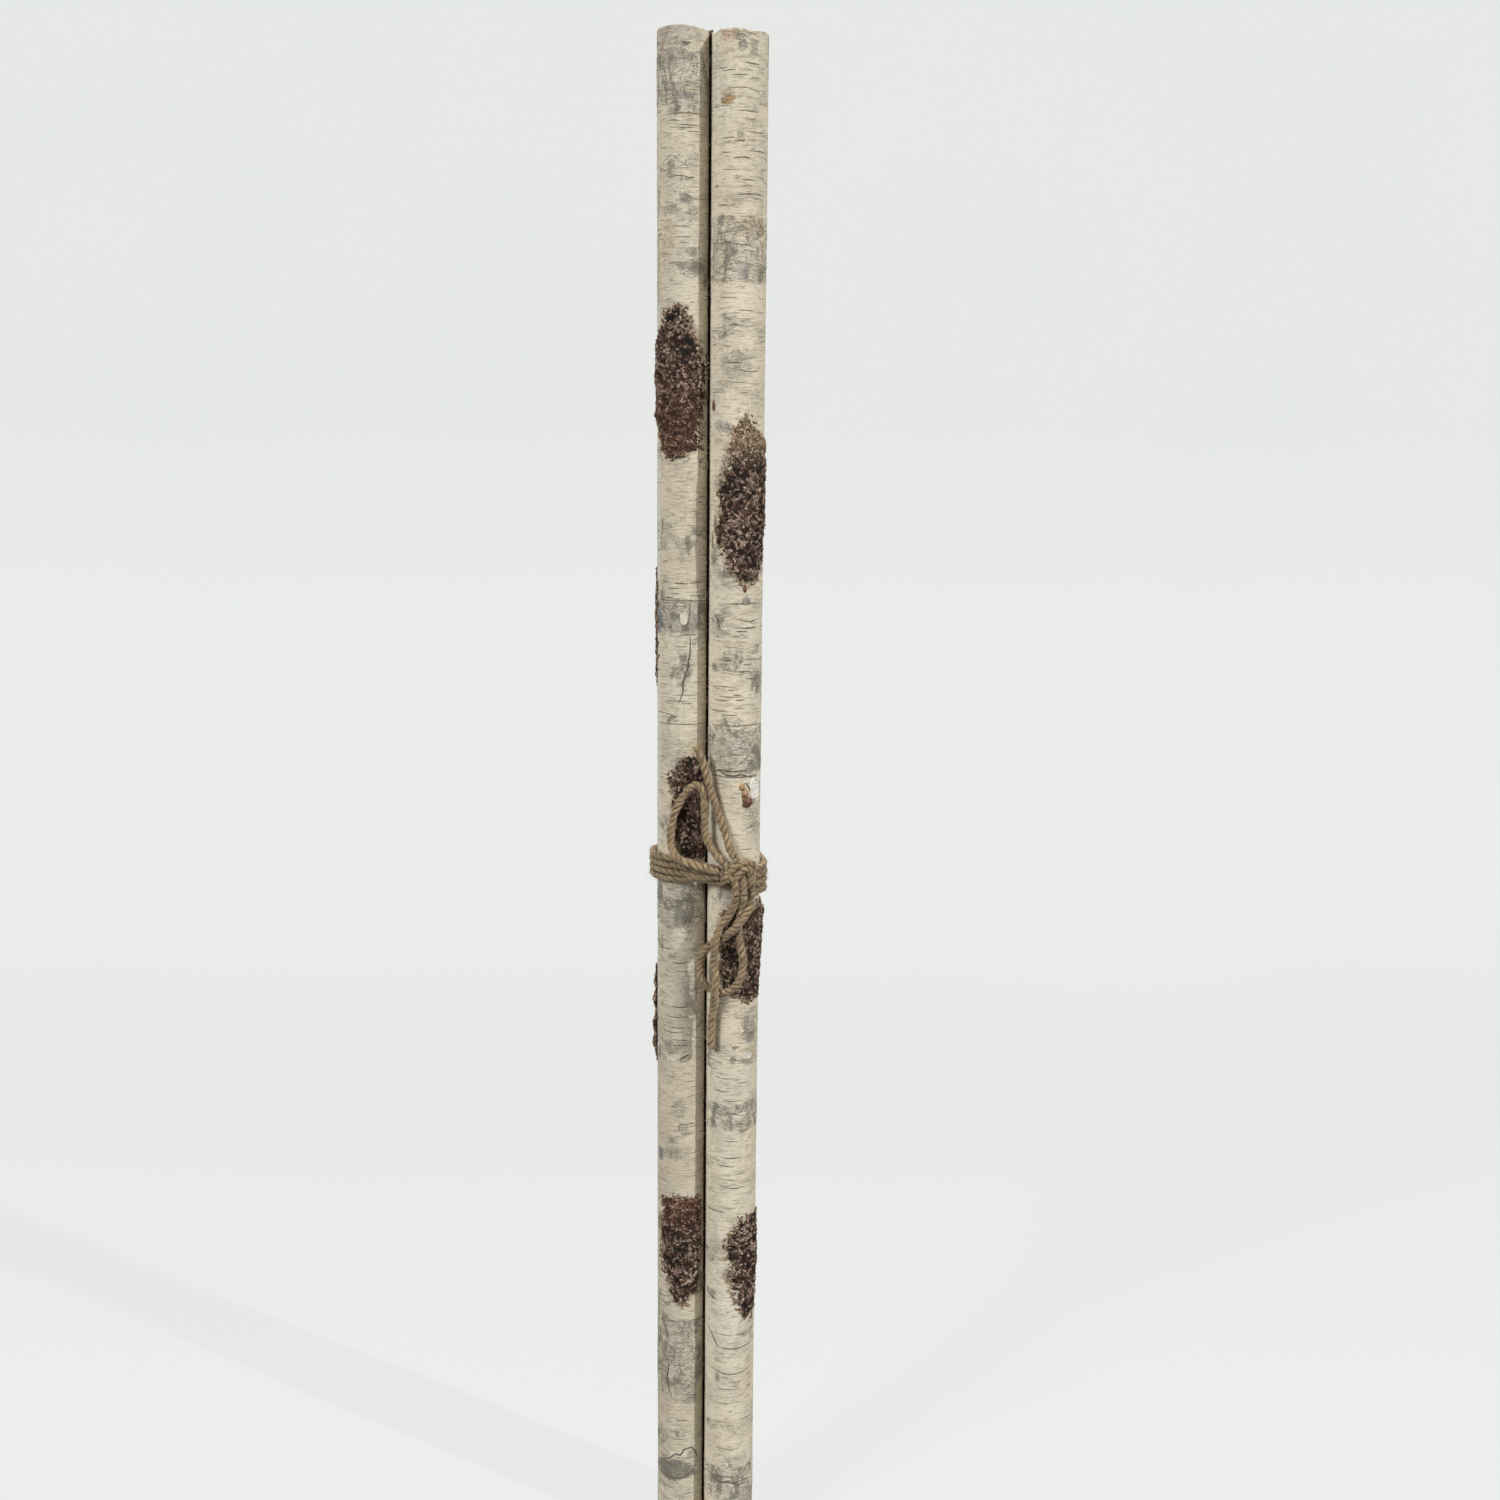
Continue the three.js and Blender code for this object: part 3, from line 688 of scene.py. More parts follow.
def add_number(piece, name, values):
    layer = piece.data.attributes.new(name, "FLOAT", "POINT")
    layer.data.foreach_set("value", np.ascontiguousarray(values, dtype=np.float32).ravel())


def add_colour(piece, name, values):
    layer = piece.data.attributes.new(name, "FLOAT_COLOR", "POINT")
    flat = values.reshape(-1, 3)
    layer.data.foreach_set("color", np.column_stack([flat, np.ones(len(flat))]).astype(np.float32).ravel())


def add_vector(piece, name, values):
    layer = piece.data.attributes.new(name, "FLOAT_VECTOR", "POINT")
    layer.data.foreach_set("vector", np.ascontiguousarray(values, dtype=np.float32).ravel())


class Gathered:
    """Shapes that are joined in one mesh piece, with numbers on their points."""

    def __init__(self):
        self.points = []
        self.faces = []
        self.numbers = {}
        self.count = 0

    def add(self, points, faces, **numbers):
        points = points.reshape(-1, 3)
        self.points.append(points)
        self.faces += [[corner + self.count for corner in face] for face in faces]
        for name, values in numbers.items():
            self.numbers.setdefault(name, []).append(np.zeros(len(points)) + values)
        self.count += len(points)

    def piece(self, name, material, slot):
        made = mesh_piece(name, np.vstack(self.points), self.faces, material)
        for layer, values in self.numbers.items():
            add_number(made, layer, np.concatenate(values))
        return made


# Materials.


class Finish:
    """A node material with short calls for the nodes that it needs."""

    def __init__(self, name, specular=0.5):
        self.material = bpy.data.materials.new(name)
        self.material.use_nodes = True
        self.tree = self.material.node_tree
        self.tree.nodes.clear()
        self.shader = self.tree.nodes.new("ShaderNodeBsdfPrincipled")
        self.shader.inputs["Specular IOR Level"].default_value = specular
        output = self.tree.nodes.new("ShaderNodeOutputMaterial")
        self.tree.links.new(self.shader.outputs["BSDF"], output.inputs["Surface"])

    def put(self, socket, value):
        if isinstance(value, bpy.types.NodeSocket):
            self.tree.links.new(value, socket)
        else:
            socket.default_value = value

    def node(self, kind, inputs=None, **settings):
        made = self.tree.nodes.new(kind)
        for key, value in settings.items():
            setattr(made, key, value)
        for key, value in (inputs or {}).items():
            self.put(made.inputs[key], value)
        return made

    def math(self, operation, a, b=0.0):
        made = self.node("ShaderNodeMath", operation=operation)
        self.put(made.inputs[0], a)
        self.put(made.inputs[1], b)
        return made.outputs[0]

    def plus(self, a, b):
        return self.math("ADD", a, b)

    def minus(self, a, b):
        return self.math("SUBTRACT", a, b)

    def times(self, a, b):
        return self.math("MULTIPLY", a, b)

    def blend(self, share, a, b, blend_type="MIX"):
        made = self.node("ShaderNodeMix", data_type="RGBA", blend_type=blend_type)
        self.put(made.inputs[0], share)
        for socket, value in ((made.inputs[6], a), (made.inputs[7], b)):
            self.put(socket, (*value, 1) if isinstance(value, tuple) else value)
        return made.outputs[2]

    def step(self, value, low, high, start=0.0, end=1.0):
        inputs = {"Value": value, "From Min": low, "From Max": high, "To Min": start, "To Max": end}
        return self.node("ShaderNodeMapRange", inputs, interpolation_type="SMOOTHSTEP").outputs[0]

    def tint(self, tone, colour, value, low, high, most=1.0):
        """A tone that turns to a colour, by most of the way, as a value goes from low to high."""
        return self.blend(self.step(value, low, high, 0.0, most), tone, colour)

    def number(self, name):
        return self.node("ShaderNodeAttribute", attribute_name=name).outputs["Fac"]

    def colour(self, name):
        return self.node("ShaderNodeAttribute", attribute_name=name).outputs["Color"]

    def stretch(self, at, scale):
        return self.node("ShaderNodeMapping", {"Vector": at, "Scale": scale}).outputs[0]

    def place(self, scale):
        """Object coordinates, stretched by the three numbers of scale."""
        return self.stretch(self.node("ShaderNodeTexCoord").outputs["Object"], scale)

    def noise(self, at, detail=3.0, roughness=0.55, distortion=0.0):
        """Noise at a place, or at object coordinates where three numbers are given that stretch them."""
        inputs = {
            "Vector": self.place(at) if isinstance(at, tuple) else at,
            "Scale": 1.0, "Detail": detail, "Roughness": roughness, "Distortion": distortion,
        }
        return self.node("ShaderNodeTexNoise", inputs).outputs["Fac"]

    def finish(self, colour, roughness, bump=None, strength=0.5, distance=0.0003):
        self.put(self.shader.inputs["Base Color"], colour)
        self.put(self.shader.inputs["Roughness"], roughness)
        if bump is not None:
            inputs = {"Height": bump, "Strength": strength, "Distance": distance}
            self.put(self.shader.inputs["Normal"], self.node("ShaderNodeBump", inputs).outputs[0])
        return self.material


def contour_lines(f, field, levels, thin, soft):
    """Thin lines where a field passes whole steps, as on a map of heights."""
    wave = f.math("FRACT", f.times(field, levels))
    return f.step(f.math("ABSOLUTE", f.minus(wave, 0.5)), soft, thin)


def plain_bark(f, cloud, fine, upright):
    """The bark's own colour, cloudy and with fine, lying and upright marks."""
    lying = f.noise((95, 95, 640), detail=2.0, distortion=0.4)
    tone = f.tint(f.colour("bark_colour"), CLOUD_GREY, cloud, 0.35, 0.7, 0.45)
    tone = f.tint(tone, FINE_BROWN, fine, 0.52, 0.7, 0.62)
    tone = f.tint(tone, FINE_CREAM, fine, 0.47, 0.3, 0.6)
    tone = f.tint(tone, LYING_BROWN, lying, 0.585, 0.68, 0.5)
    return f.tint(tone, UPRIGHT_BROWN, upright, 0.55, 0.75, 0.3)


def stained_bark(f, tone, cloud, fine):
    """Stains, among them painted light and painted shade, with ragged rims, scratched through where they are
    weak.
    """
    strength = f.number("strength")
    scratchy = f.noise((300, 300, 520), detail=5.0, roughness=0.7, distortion=1.4)
    rim = f.times(f.minus(f.plus(fine, f.times(cloud, 0.6)), 0.8), 2.5)
    cover = f.step(f.plus(f.number("stain"), rim), 0.38, 0.78)
    share = f.times(strength, f.step(scratchy, 0.42, 0.6, 0.45, 1.0))
    share = f.math("MAXIMUM", share, f.step(strength, 0.82, 0.9))
    return f.blend(f.times(cover, share), tone, f.colour("stain_colour"))


def mottled_bark(f, tone, mottle):
    """Dark and pale smoke where the bark is mottled."""
    smoke = f.noise((70, 70, 34), detail=5.0, roughness=0.66, distortion=2.4)
    tone = f.blend(f.times(mottle, f.step(smoke, 0.5, 0.6, 0.0, 0.8)), tone, SMOKE_DARK)
    return f.blend(f.times(mottle, f.step(smoke, 0.47, 0.36, 0.0, 0.6)), tone, SMOKE_PALE)


def bark_wrinkles(f, cloud, mottle):
    """Thin lying lines, plainer where the bark is cloudy or mottled."""
    field = f.noise((38, 38, 230), detail=2.0, distortion=0.5)
    shown = f.step(f.plus(cloud, f.times(mottle, 0.4)), 0.42, 0.72, 0.12, 0.7)
    return f.times(contour_lines(f, field, 9.0, 0.03, 0.13), shown)


def bark_swirls(f, mottle):
    """Curling lines where the bark is mottled."""
    field = f.noise((75, 75, 105), detail=1.5, distortion=1.6)
    return f.times(contour_lines(f, field, 5.0, 0.02, 0.1), f.step(mottle, 0.25, 0.75, 0.0, 0.65))


def knot_curls(f):
    """Broken rings round each knot."""
    knot = f.number("knot")
    bent = f.plus(knot, f.times(f.noise((130, 130, 200)), 0.9))
    broken = f.times(f.step(knot, 1.0, 0.6), f.step(f.noise((300, 300, 300)), 0.4, 0.6, 0.15, 1.0))
    return f.times(contour_lines(f, bent, 3.0, 0.03, 0.2), broken)


def bark_dashes(f):
    """Short dashes in some of the cells of a flat and wavering net."""
    wobble = f.noise((90, 90, 140), detail=2.0)
    at = f.node("ShaderNodeVectorMath", operation="MULTIPLY_ADD")
    f.put(at.inputs[0], f.node("ShaderNodeCombineXYZ", {"Z": wobble}).outputs[0])
    at.inputs[1].default_value = (0, 0, 1.1)
    f.put(at.inputs[2], f.place((42, 42, 400)))
    cells = f.node("ShaderNodeTexVoronoi", {"Vector": at.outputs[0], "Scale": 1.0})
    own_number = f.node("ShaderNodeSeparateColor", {"Color": cells.outputs["Color"]}).outputs[0]
    return f.times(f.step(cells.outputs["Distance"], 0.2, 0.1), f.step(own_number, 0.55, 0.6))


def bark_finish():
    """Pale bark: cloudy tone, ragged stains with painted light and shade among them, wrinkles, swirls, curls
    round knots and small dashes.
    """
    f = Finish("birch_bark", specular=0.25)
    mottle = f.number("mottle")
    cloud = f.noise((45, 45, 60), detail=4.0)
    fine = f.noise((240, 240, 800), detail=5.0, roughness=0.62)
    grain = f.noise((1100, 1100, 2800), detail=2.0)
    upright = f.noise((700, 700, 60))
    wrinkle = bark_wrinkles(f, cloud, mottle)
    swirl = bark_swirls(f, mottle)
    curl = knot_curls(f)
    dash = bark_dashes(f)
    tone = plain_bark(f, cloud, fine, upright)
    tone = stained_bark(f, tone, cloud, fine)
    tone = mottled_bark(f, tone, mottle)
    tone = f.blend(f.times(wrinkle, 0.8), tone, WRINKLE_BROWN)
    tone = f.blend(swirl, tone, SWIRL_BROWN)
    tone = f.blend(f.times(curl, 0.7), tone, CURL_BROWN)
    tone = f.blend(f.times(dash, 0.6), tone, DASH_BROWN)
    high = f.plus(f.times(fine, 0.9), f.times(grain, 0.3))
    high = f.plus(high, f.times(upright, 0.35))
    high = f.minus(high, f.times(f.plus(swirl, curl), 0.5))
    high = f.minus(high, f.times(wrinkle, 0.6))
    high = f.minus(high, f.times(dash, 0.35))
    return f.finish(tone, f.step(fine, 0.3, 0.7, 0.62, 0.8), high, 0.7, 0.0006)


def sawn_finish():
    """End grain: pale wood with growth rings about the pole's middle and fine saw lines."""
    f = Finish("sawn_wood", specular=0.2)
    radius = f.number("from_axis")
    uneven = f.noise((60, 60, 60), detail=2.0)
    rings = f.math("SINE", f.times(f.plus(radius, f.times(uneven, 2.2)), 3.2))
    saw = f.noise((1800, 160, 400), detail=2.0)
    tone = f.tint(SAWN_PALE, SAWN_RING, rings, -0.2, 1.0, 0.8)
    tone = f.tint(tone, SAWN_RIM, radius, 11.0, 14.6)
    tone = f.tint(tone, SAWN_PITH, radius, 1.5, 0.7)
    tone = f.tint(tone, SAW_LINE, saw, 0.5, 0.75, 0.35)
    return f.finish(tone, 0.85, saw, 0.5, 0.0004)


def crust_finish():
    """Rough bark: grains of many browns, crumbly, with painted shade near black in the gaps between them and
    a painted highlight on their high edges.
    """
    f = Finish("rough_bark", specular=0.3)
    crumbs = f.noise((1300, 1300, 1300), detail=4.0, roughness=0.7)
    streaks = f.noise((640, 640, 640), detail=4.0, roughness=0.72, distortion=1.6)
    height = f.plus(f.number("depth"), f.times(f.minus(crumbs, 0.5), 1.1))
    streaked = f.step(streaks, 0.46, 0.62, 0.0, 0.75)
    tone = f.blend(streaked, f.colour("grain_colour"), STREAK_DARK, "MULTIPLY")
    # Painted shade, near black, in the low gaps, and a painted pink highlight on the high tops of lighter
    # grains.
    tone = f.blend(f.step(height, 0.2, 0.52), GAP_SHADE_BLACK, tone)
    highlight = f.times(f.step(height, 0.68, 1.0), f.step(f.number("tone"), 0.45, 0.85, 0.0, 0.9))
    highlight = f.times(highlight, f.step(streaks, 0.56, 0.42))
    tone = f.blend(highlight, tone, PINK_HIGHLIGHT)
    high = f.plus(crumbs, f.times(streaks, -1.2))
    return f.finish(tone, f.step(crumbs, 0.3, 0.7, 0.5, 0.8), high, 0.9, 0.0009)


def lenticel_finish():
    """Lenticels and cracks: grey brown, uneven along their length."""
    f = Finish("lenticels", specular=0.2)
    fade = f.number("fade")
    patchy = f.noise((500, 500, 900))
    light = f.blend(fade, LENTICEL_DARK, LENTICEL_PALE)
    worn = f.times(f.step(patchy, 0.4, 0.68, 0.0, 0.7), f.step(fade, 0.0, 0.15, 0.25, 1.0))
    return f.finish(f.blend(worn, light, LENTICEL_WORN), 0.8, patchy, 0.4, 0.0003)


def peel_finish():
    """Curled scraps of outer bark: paper white outside with tan shadows."""
    f = Finish("peeled_bark", specular=0.25)
    streaks = f.noise((300, 300, 1200))
    papery = f.blend(f.number("white"), SCRAP_CREAM, SCRAP_WHITE)
    return f.finish(f.tint(papery, SCRAP_TAN, streaks, 0.46, 0.7, 0.6), 0.7, streaks, 0.4, 0.0003)


def knob_finish():
    """The stub of a lost twig: glossy brown over tan wood."""
    f = Finish("twig_stub")
    patchy = f.noise((420, 420, 420))
    brown = f.step(f.plus(f.number("shade"), f.times(patchy, 0.8)), 0.7, 1.1)
    tone = f.blend(brown, STUB_TAN, STUB_BROWN)
    tone = f.tint(tone, STUB_DARK, patchy, 0.55, 0.7, 0.7)
    return f.finish(tone, 0.5, patchy, 0.7, 0.0005)


def twine_finish():
    """Jute: straw coloured fibres that follow the twist, with painted shade in the grooves between the
    strands and where twine presses against twine.
    """
    f = Finish("jute_twine", specular=0.25)
    f.shader.inputs["Sheen Weight"].default_value = 0.25
    f.shader.inputs["Sheen Roughness"].default_value = 0.5
    strand = f.node("ShaderNodeAttribute", attribute_name="strand").outputs["Vector"]
    fibres = f.noise(f.stretch(strand, (0.35, 5.0, 5.0)), 4.0, 0.65)
    bundles = f.noise(f.stretch(strand, (0.22, 1.5, 1.5)), 3.0, 0.6)
    patches = f.noise((110, 110, 110), detail=2.0)
    tone = f.tint(FIBRE_BROWN, FIBRE_STRAW, fibres, 0.34, 0.66)
    tone = f.tint(tone, BUNDLE_BROWN, bundles, 0.42, 0.6, 0.8)
    tone = f.tint(tone, PATCH_BROWN, patches, 0.4, 0.66, 0.4)
    # Painted shade: darker in the valleys between strands and near black where twine presses against twine.
    tone = f.tint(tone, VALLEY_SHADE, f.number("groove"), 0.6, 0.1, 0.8)
    tone = f.blend(f.number("crease"), tone, CREASE_SHADE)
    return f.finish(tone, 0.85, f.plus(fibres, bundles), 0.9, 0.0007)


def fibre_finish():
    """Loose jute fibres, lighter than the twine's grooves."""
    f = Finish("jute_fibres")
    patches = f.noise((300, 300, 300), detail=2.0)
    return f.finish(f.tint(LOOSE_BROWN, LOOSE_STRAW, patches, 0.35, 0.65), 0.8)


def floor_finish():
    """A plain pale studio sweep, lit from within like a light table, so that shadows on it stay faint."""
    f = Finish("studio_sweep", specular=0.1)
    cloud = f.noise((3, 3, 3), detail=2.0)
    seen = f.node("ShaderNodeLightPath").outputs["Is Camera Ray"]
    f.put(f.shader.inputs["Emission Color"], f.blend(cloud, *SWEEP_TINTS))
    f.put(f.shader.inputs["Emission Strength"], f.times(seen, FLOOR_GLOW))
    return f.finish((FLOOR_SHADE, FLOOR_SHADE, FLOOR_SHADE, 1), 0.9)


# Camera and lights.


def make_camera():
    pitch = math.radians(CAMERA_PITCH)
    roll = math.radians(CAMERA_ROLL)
    right = Vector((math.cos(roll), math.sin(roll) * math.sin(pitch), math.sin(roll) * math.cos(pitch)))
    up = Vector((-math.sin(roll), math.cos(roll) * math.sin(pitch), math.cos(roll) * math.cos(pitch)))
    back = right.cross(up)
    camera = bpy.data.cameras.new("camera")
    camera.sensor_width = SENSOR_WIDTH
    camera.lens = FOCAL_PIXELS * SENSOR_WIDTH / PICTURE_SIDE
    camera.clip_start = 0.01
    camera.clip_end = 50
    holder = bpy.data.objects.new("camera", camera)
    bpy.context.scene.collection.objects.link(holder)
    turned = Matrix((right, up, back)).transposed().to_4x4()
    holder.matrix_world = Matrix.Translation(Vector(CAMERA_PLACE) * MM) @ turned
    bpy.context.scene.camera = holder


def make_lamp(name, angle, elevation, watts, spread):
    """A lamp so far away that it lights the poles evenly from top to bottom."""
    light = bpy.data.lights.new(name, "SUN")
    light.energy = watts
    light.angle = math.radians(spread)
    light.color = LAMP_COLOUR
    lamp = bpy.data.objects.new(name, light)
    bpy.context.scene.collection.objects.link(lamp)
    turn = math.radians(angle)
    towards = Vector((math.sin(turn), -math.cos(turn), math.tan(math.radians(elevation))))
    lamp.location = towards
    lamp.rotation_euler = towards.to_track_quat("Z", "Y").to_euler()


def make_sky():
    """Even light from all round, and a pale backdrop where the camera looks past the sweep."""
    world = bpy.data.worlds.new("studio")
    world.use_nodes = True
    tree = world.node_tree
    background = tree.nodes["Background"]
    path = tree.nodes.new("ShaderNodeLightPath")
    tint = tree.nodes.new("ShaderNodeMix")
    tint.data_type = "RGBA"
    tree.links.new(path.outputs["Is Camera Ray"], tint.inputs[0])
    tint.inputs[6].default_value = SKY_TINT
    tint.inputs[7].default_value = SKY_COLOUR
    tree.links.new(tint.outputs[2], background.inputs["Color"])
    strength = tree.nodes.new("ShaderNodeMapRange")
    strength.inputs["To Min"].default_value = SKY_LIGHT
    strength.inputs["To Max"].default_value = SKY_SEEN
    tree.links.new(path.outputs["Is Camera Ray"], strength.inputs["Value"])
    tree.links.new(strength.outputs[0], background.inputs["Strength"])
    bpy.context.scene.world = world
    bpy.context.scene.view_settings.view_transform = "Standard"


def make_floor():
    """A floor that bends up into a wall well behind the bundle."""
    turns = np.radians(np.linspace(0, 90, SWEEP_BEND_STEPS + 1))
    depth = [SWEEP_FRONT, *(SWEEP_BEND_START + SWEEP_BEND_RADIUS * np.sin(turns))]
    height = [0, *(SWEEP_BEND_RADIUS * (1 - np.cos(turns)))]
    depth.append(depth[-1])
    height.append(SWEEP_TOP)
    points = [(side * SWEEP_HALF_WIDTH, y, z) for y, z in zip(depth, height) for side in (-1, 1)]
    faces = grid_faces(len(depth), 2, closed=False)
    mesh = bpy.data.meshes.new("studio_sweep")
    mesh.from_pydata((np.array(points) * MM).tolist(), [], faces.tolist())
    mesh.polygons.foreach_set("use_smooth", [True] * len(mesh.polygons))
    mesh.materials.append(floor_finish())
    floor = bpy.data.objects.new("studio_sweep", mesh)
    bpy.context.scene.collection.objects.link(floor)


# Twine.


def smooth_route(corners):
    """Evenly spaced points on the centripetal curve through the corners."""
    corners = np.array(corners, float)
    first = 2 * corners[0] - corners[1]
    last = 2 * corners[-1] - corners[-2]
    chain = np.vstack([first, corners, last])
    share = np.linspace(0, 1, CURVE_STEPS, endpoint=False)[:, None]
    pieces = []
    for a, b, c, d in zip(chain, chain[1:], chain[2:], chain[3:]):
        ab, bc, cd = (math.sqrt(np.linalg.norm(q - p)) for p, q in ((a, b), (b, c), (c, d)))
        leave = ((b - a) / ab - (c - a) / (ab + bc) + (c - b) / bc) * bc
        arrive = ((c - b) / bc - (d - b) / (bc + cd) + (d - c) / cd) * bc
        bend = 3 * (c - b) - 2 * leave - arrive
        twist = 2 * (b - c) + leave + arrive
        pieces.append(b + leave * share + bend * share ** 2 + twist * share ** 3)
    pieces.append(corners[-1:])
    return resample(np.vstack(pieces))


def resample(points):
    """The same route with its points a twine step apart."""
    lengths = np.concatenate([[0], np.cumsum(np.linalg.norm(np.diff(points, axis=0), axis=1))])
    count = max(2, round(lengths[-1] / TWINE_STEP) + 1)
    at = np.linspace(0, lengths[-1], count)
    return np.column_stack([np.interp(at, lengths, points[:, axis]) for axis in range(3)])


def route_length(points):
    return float(np.linalg.norm(np.diff(points, axis=0), axis=1).sum())


def directions(points):
    """Which way a route runs at each of its points."""
    ahead = np.gradient(points, axis=0)
    return ahead / np.linalg.norm(ahead, axis=1)[:, None]


def section_frames(points):
    """Two directions across the route at each point, turned along with it and never about it."""
    ahead = directions(points)
    side = np.cross(ahead[0], [0.3, 0.5, 0.81])
    sides = []
    for direction in ahead:
        side = side - direction * np.dot(side, direction)
        side = side / np.linalg.norm(side)
        sides.append(side)
    sides = np.array(sides)
    return sides, np.cross(ahead, sides)


def strand_tube(points, diameter, seed):
    """A closed tube of three twisted strands: its points, faces, groove depth and place along the fibres."""
    sides, ups = section_frames(points)
    along = np.arange(len(points)) * TWINE_STEP
    turn = np.arange(TWINE_SIDES) * 2 * np.pi / TWINE_SIDES
    twist = along / TWINE_LAY * 2 * np.pi + 0.5 * np.sin(along * 0.17 + 3 * seed)
    phase = turn[None, :] - twist[:, None]
    lobe = np.abs(np.cos(phase * TWINE_PLIES / 2))
    uneven = 0.93 + 0.07 * np.sin(along * 0.37 + seed) + 0.04 * np.sin(along * 1.13 + 2 * seed)
    fuzz = 0.05 * (scatter(np.arange(len(points))[:, None], np.arange(TWINE_SIDES)[None, :], seed) - 0.5)
    radius = diameter / 2 * (0.74 + 0.26 * lobe ** 0.7) * uneven[:, None] * (1 + fuzz)
    ends = np.minimum(along, along[-1] - along)
    radius = radius * np.sqrt(np.clip(ends / 0.9 + 0.25, 0, 1))[:, None]
    ring = sides[:, None, :] * np.cos(turn)[None, :, None] + ups[:, None, :] * np.sin(turn)[None, :, None]
    shape = points[:, None, :] + ring * radius[:, :, None]
    faces = tube_faces(len(points), TWINE_SIDES)
    strand = np.stack([along[:, None] + 0 * phase, np.cos(phase) * 2, np.sin(phase) * 2], axis=-1)
    return shape.reshape(-1, 3), faces, lobe.ravel(), strand.reshape(-1, 3)


def crease_depth(shape, route, every_route):
    """1 where a tube's skin is pressed against other twine and 0 where it is clear of it: where painted shade
    goes.
    """
    far = 99.0
    chunk_size = 40
    nearest = np.full(len(shape), far)
    middles = np.repeat(route, TWINE_SIDES, axis=0)
    every_point = np.vstack(every_route)
    for first in range(0, len(every_point), chunk_size):
        chunk = every_point[first:first + chunk_size]
        away = np.linalg.norm(shape[:, None, :] - chunk[None, :, :], axis=2)
        apart = np.linalg.norm(middles[:, None, :] - chunk[None, :, :], axis=2)
        nearest = np.minimum(nearest, np.where(apart < OWN_STRAND, far, away).min(axis=1))
    return between(nearest, CREASE_CLEAR, CREASE_DEEP)


def twine_piece(name, routes, diameter, material, seed, every_route):
    """One mesh of one or more twisted tubes."""
    gathered = Gathered()
    strands = []
    for index, route in enumerate(routes):
        shape, faces, groove, strand = strand_tube(route, diameter, seed + index)
        gathered.add(shape, faces, groove=groove, crease=crease_depth(shape, route, every_route))
        strands.append(strand + 40 * (seed + index))
    piece = gathered.piece(name, material, "jute_twine")
    add_vector(piece, "strand", np.vstack(strands))
    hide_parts(name)
    return piece


def wrap_route():
    """Four turns round all three poles: an arc on each pole and a straight run to the next one."""
    radius = POLE_RADIUS + WRAP_STANDOFF
    arc = 2 * math.pi * radius / 3
    side = arc + POLE_SPACING
    perimeter = 3 * side
    starts = {"right": THIRD_TURN - PAIR_TURN, "left": -PAIR_TURN, "back": -THIRD_TURN - PAIR_TURN}
    order = ["right", "left", "back"]
    start_at_knot = (starts["right"] - KNOT_ANGLE) / THIRD_TURN * arc
    points = []
    for travelled in np.linspace(0, TURNS, TURNS * WRAP_STEPS + 1):
        distance = (start_at_knot + travelled * perimeter) % perimeter
        index = min(len(order) - 1, int(distance // side))
        name = order[index]
        on_arc = min(distance - index * side, arc)
        run = distance - index * side - on_arc
        angle = starts[name] - on_arc / arc * THIRD_TURN
        turn = min(TURNS - 1, int(travelled))
        leaving = 1 - between((travelled - turn) * perimeter, *CONVERGING_LEFT)
        arriving = 1 - between((turn + 1 - travelled) * perimeter, *CONVERGING_RIGHT)
        lift = leaving * KNOT_CROSSING_LIFTS[turn] + arriving * KNOT_CROSSING_LIFTS[turn + 1]
        x, y, _ = on_pole(name, angle, radius + lift, 0.0)
        x -= math.cos(math.radians(angle)) * run
        y -= math.sin(math.radians(angle)) * run
        pitch = np.interp(x / (2 * radius), [0, 1], [TURN_PITCH, TURN_PITCH_RIGHT])
        height = WRAP_HEIGHT + (TURNS / 2 - travelled) * pitch - WRAP_LEAN * x
        height += leaving * (KNOT_CROSSING_HEIGHTS[turn] - height)
        height += arriving * (KNOT_CROSSING_HEIGHTS[turn + 1] - height)
        points.append([x, y, height])
    return resample(np.array(points))


def fibre_tube(start, ahead, bend, length, rng):
    """A hair of three sides that leaves in one direction and curls towards another."""
    share = np.linspace(0, 1, FIBRE_JOINTS)[:, None]
    line = start + ahead * length * share + bend * length * 0.5 * share ** 2
    line = line + rng.normal(0, 0.04, line.shape) * share * length * 0.3
    side = np.cross(ahead, [0.31, 0.52, 0.79])
    side = side / np.linalg.norm(side)
    other = np.cross(ahead, side)
    turn = np.arange(FIBRE_SIDES) * 2 * np.pi / FIBRE_SIDES
    ring = side[None, :] * np.cos(turn)[:, None] + other[None, :] * np.sin(turn)[:, None]
    width = FIBRE_THICKNESS * (1 - 0.6 * share)
    return line[:, None, :] + ring[None, :, :] * width[:, :, None]


def twine_fuzz(route, diameter, rng):
    """Loose hairs along one length of twine."""
    ahead = directions(route)
    sides, ups = section_frames(route)
    hairs = []
    for _ in range(int(route_length(route) * FIBRES_PER_MM)):
        at = rng.integers(2, len(route) - 2)
        turn = rng.uniform(0, 2 * math.pi)
        out = sides[at] * math.cos(turn) + ups[at] * math.sin(turn)
        around = sides[at] * -math.sin(turn) + ups[at] * math.cos(turn)
        start = route[at] + out * diameter * 0.42
        along = ahead[at] * rng.choice([-1, 1])
        first = along * 0.75 + out * rng.uniform(0.1, 0.5) + around * rng.uniform(-0.4, 0.4)
        bend = out * rng.uniform(-0.5, 0.3) + around * rng.normal(0, 0.5)
        length = rng.uniform(*SHORT_FIBRE) if rng.random() < SHORT_SHARE else rng.uniform(*LONG_FIBRE)
        hairs.append(fibre_tube(start, first / np.linalg.norm(first), bend, length, rng))
    return hairs


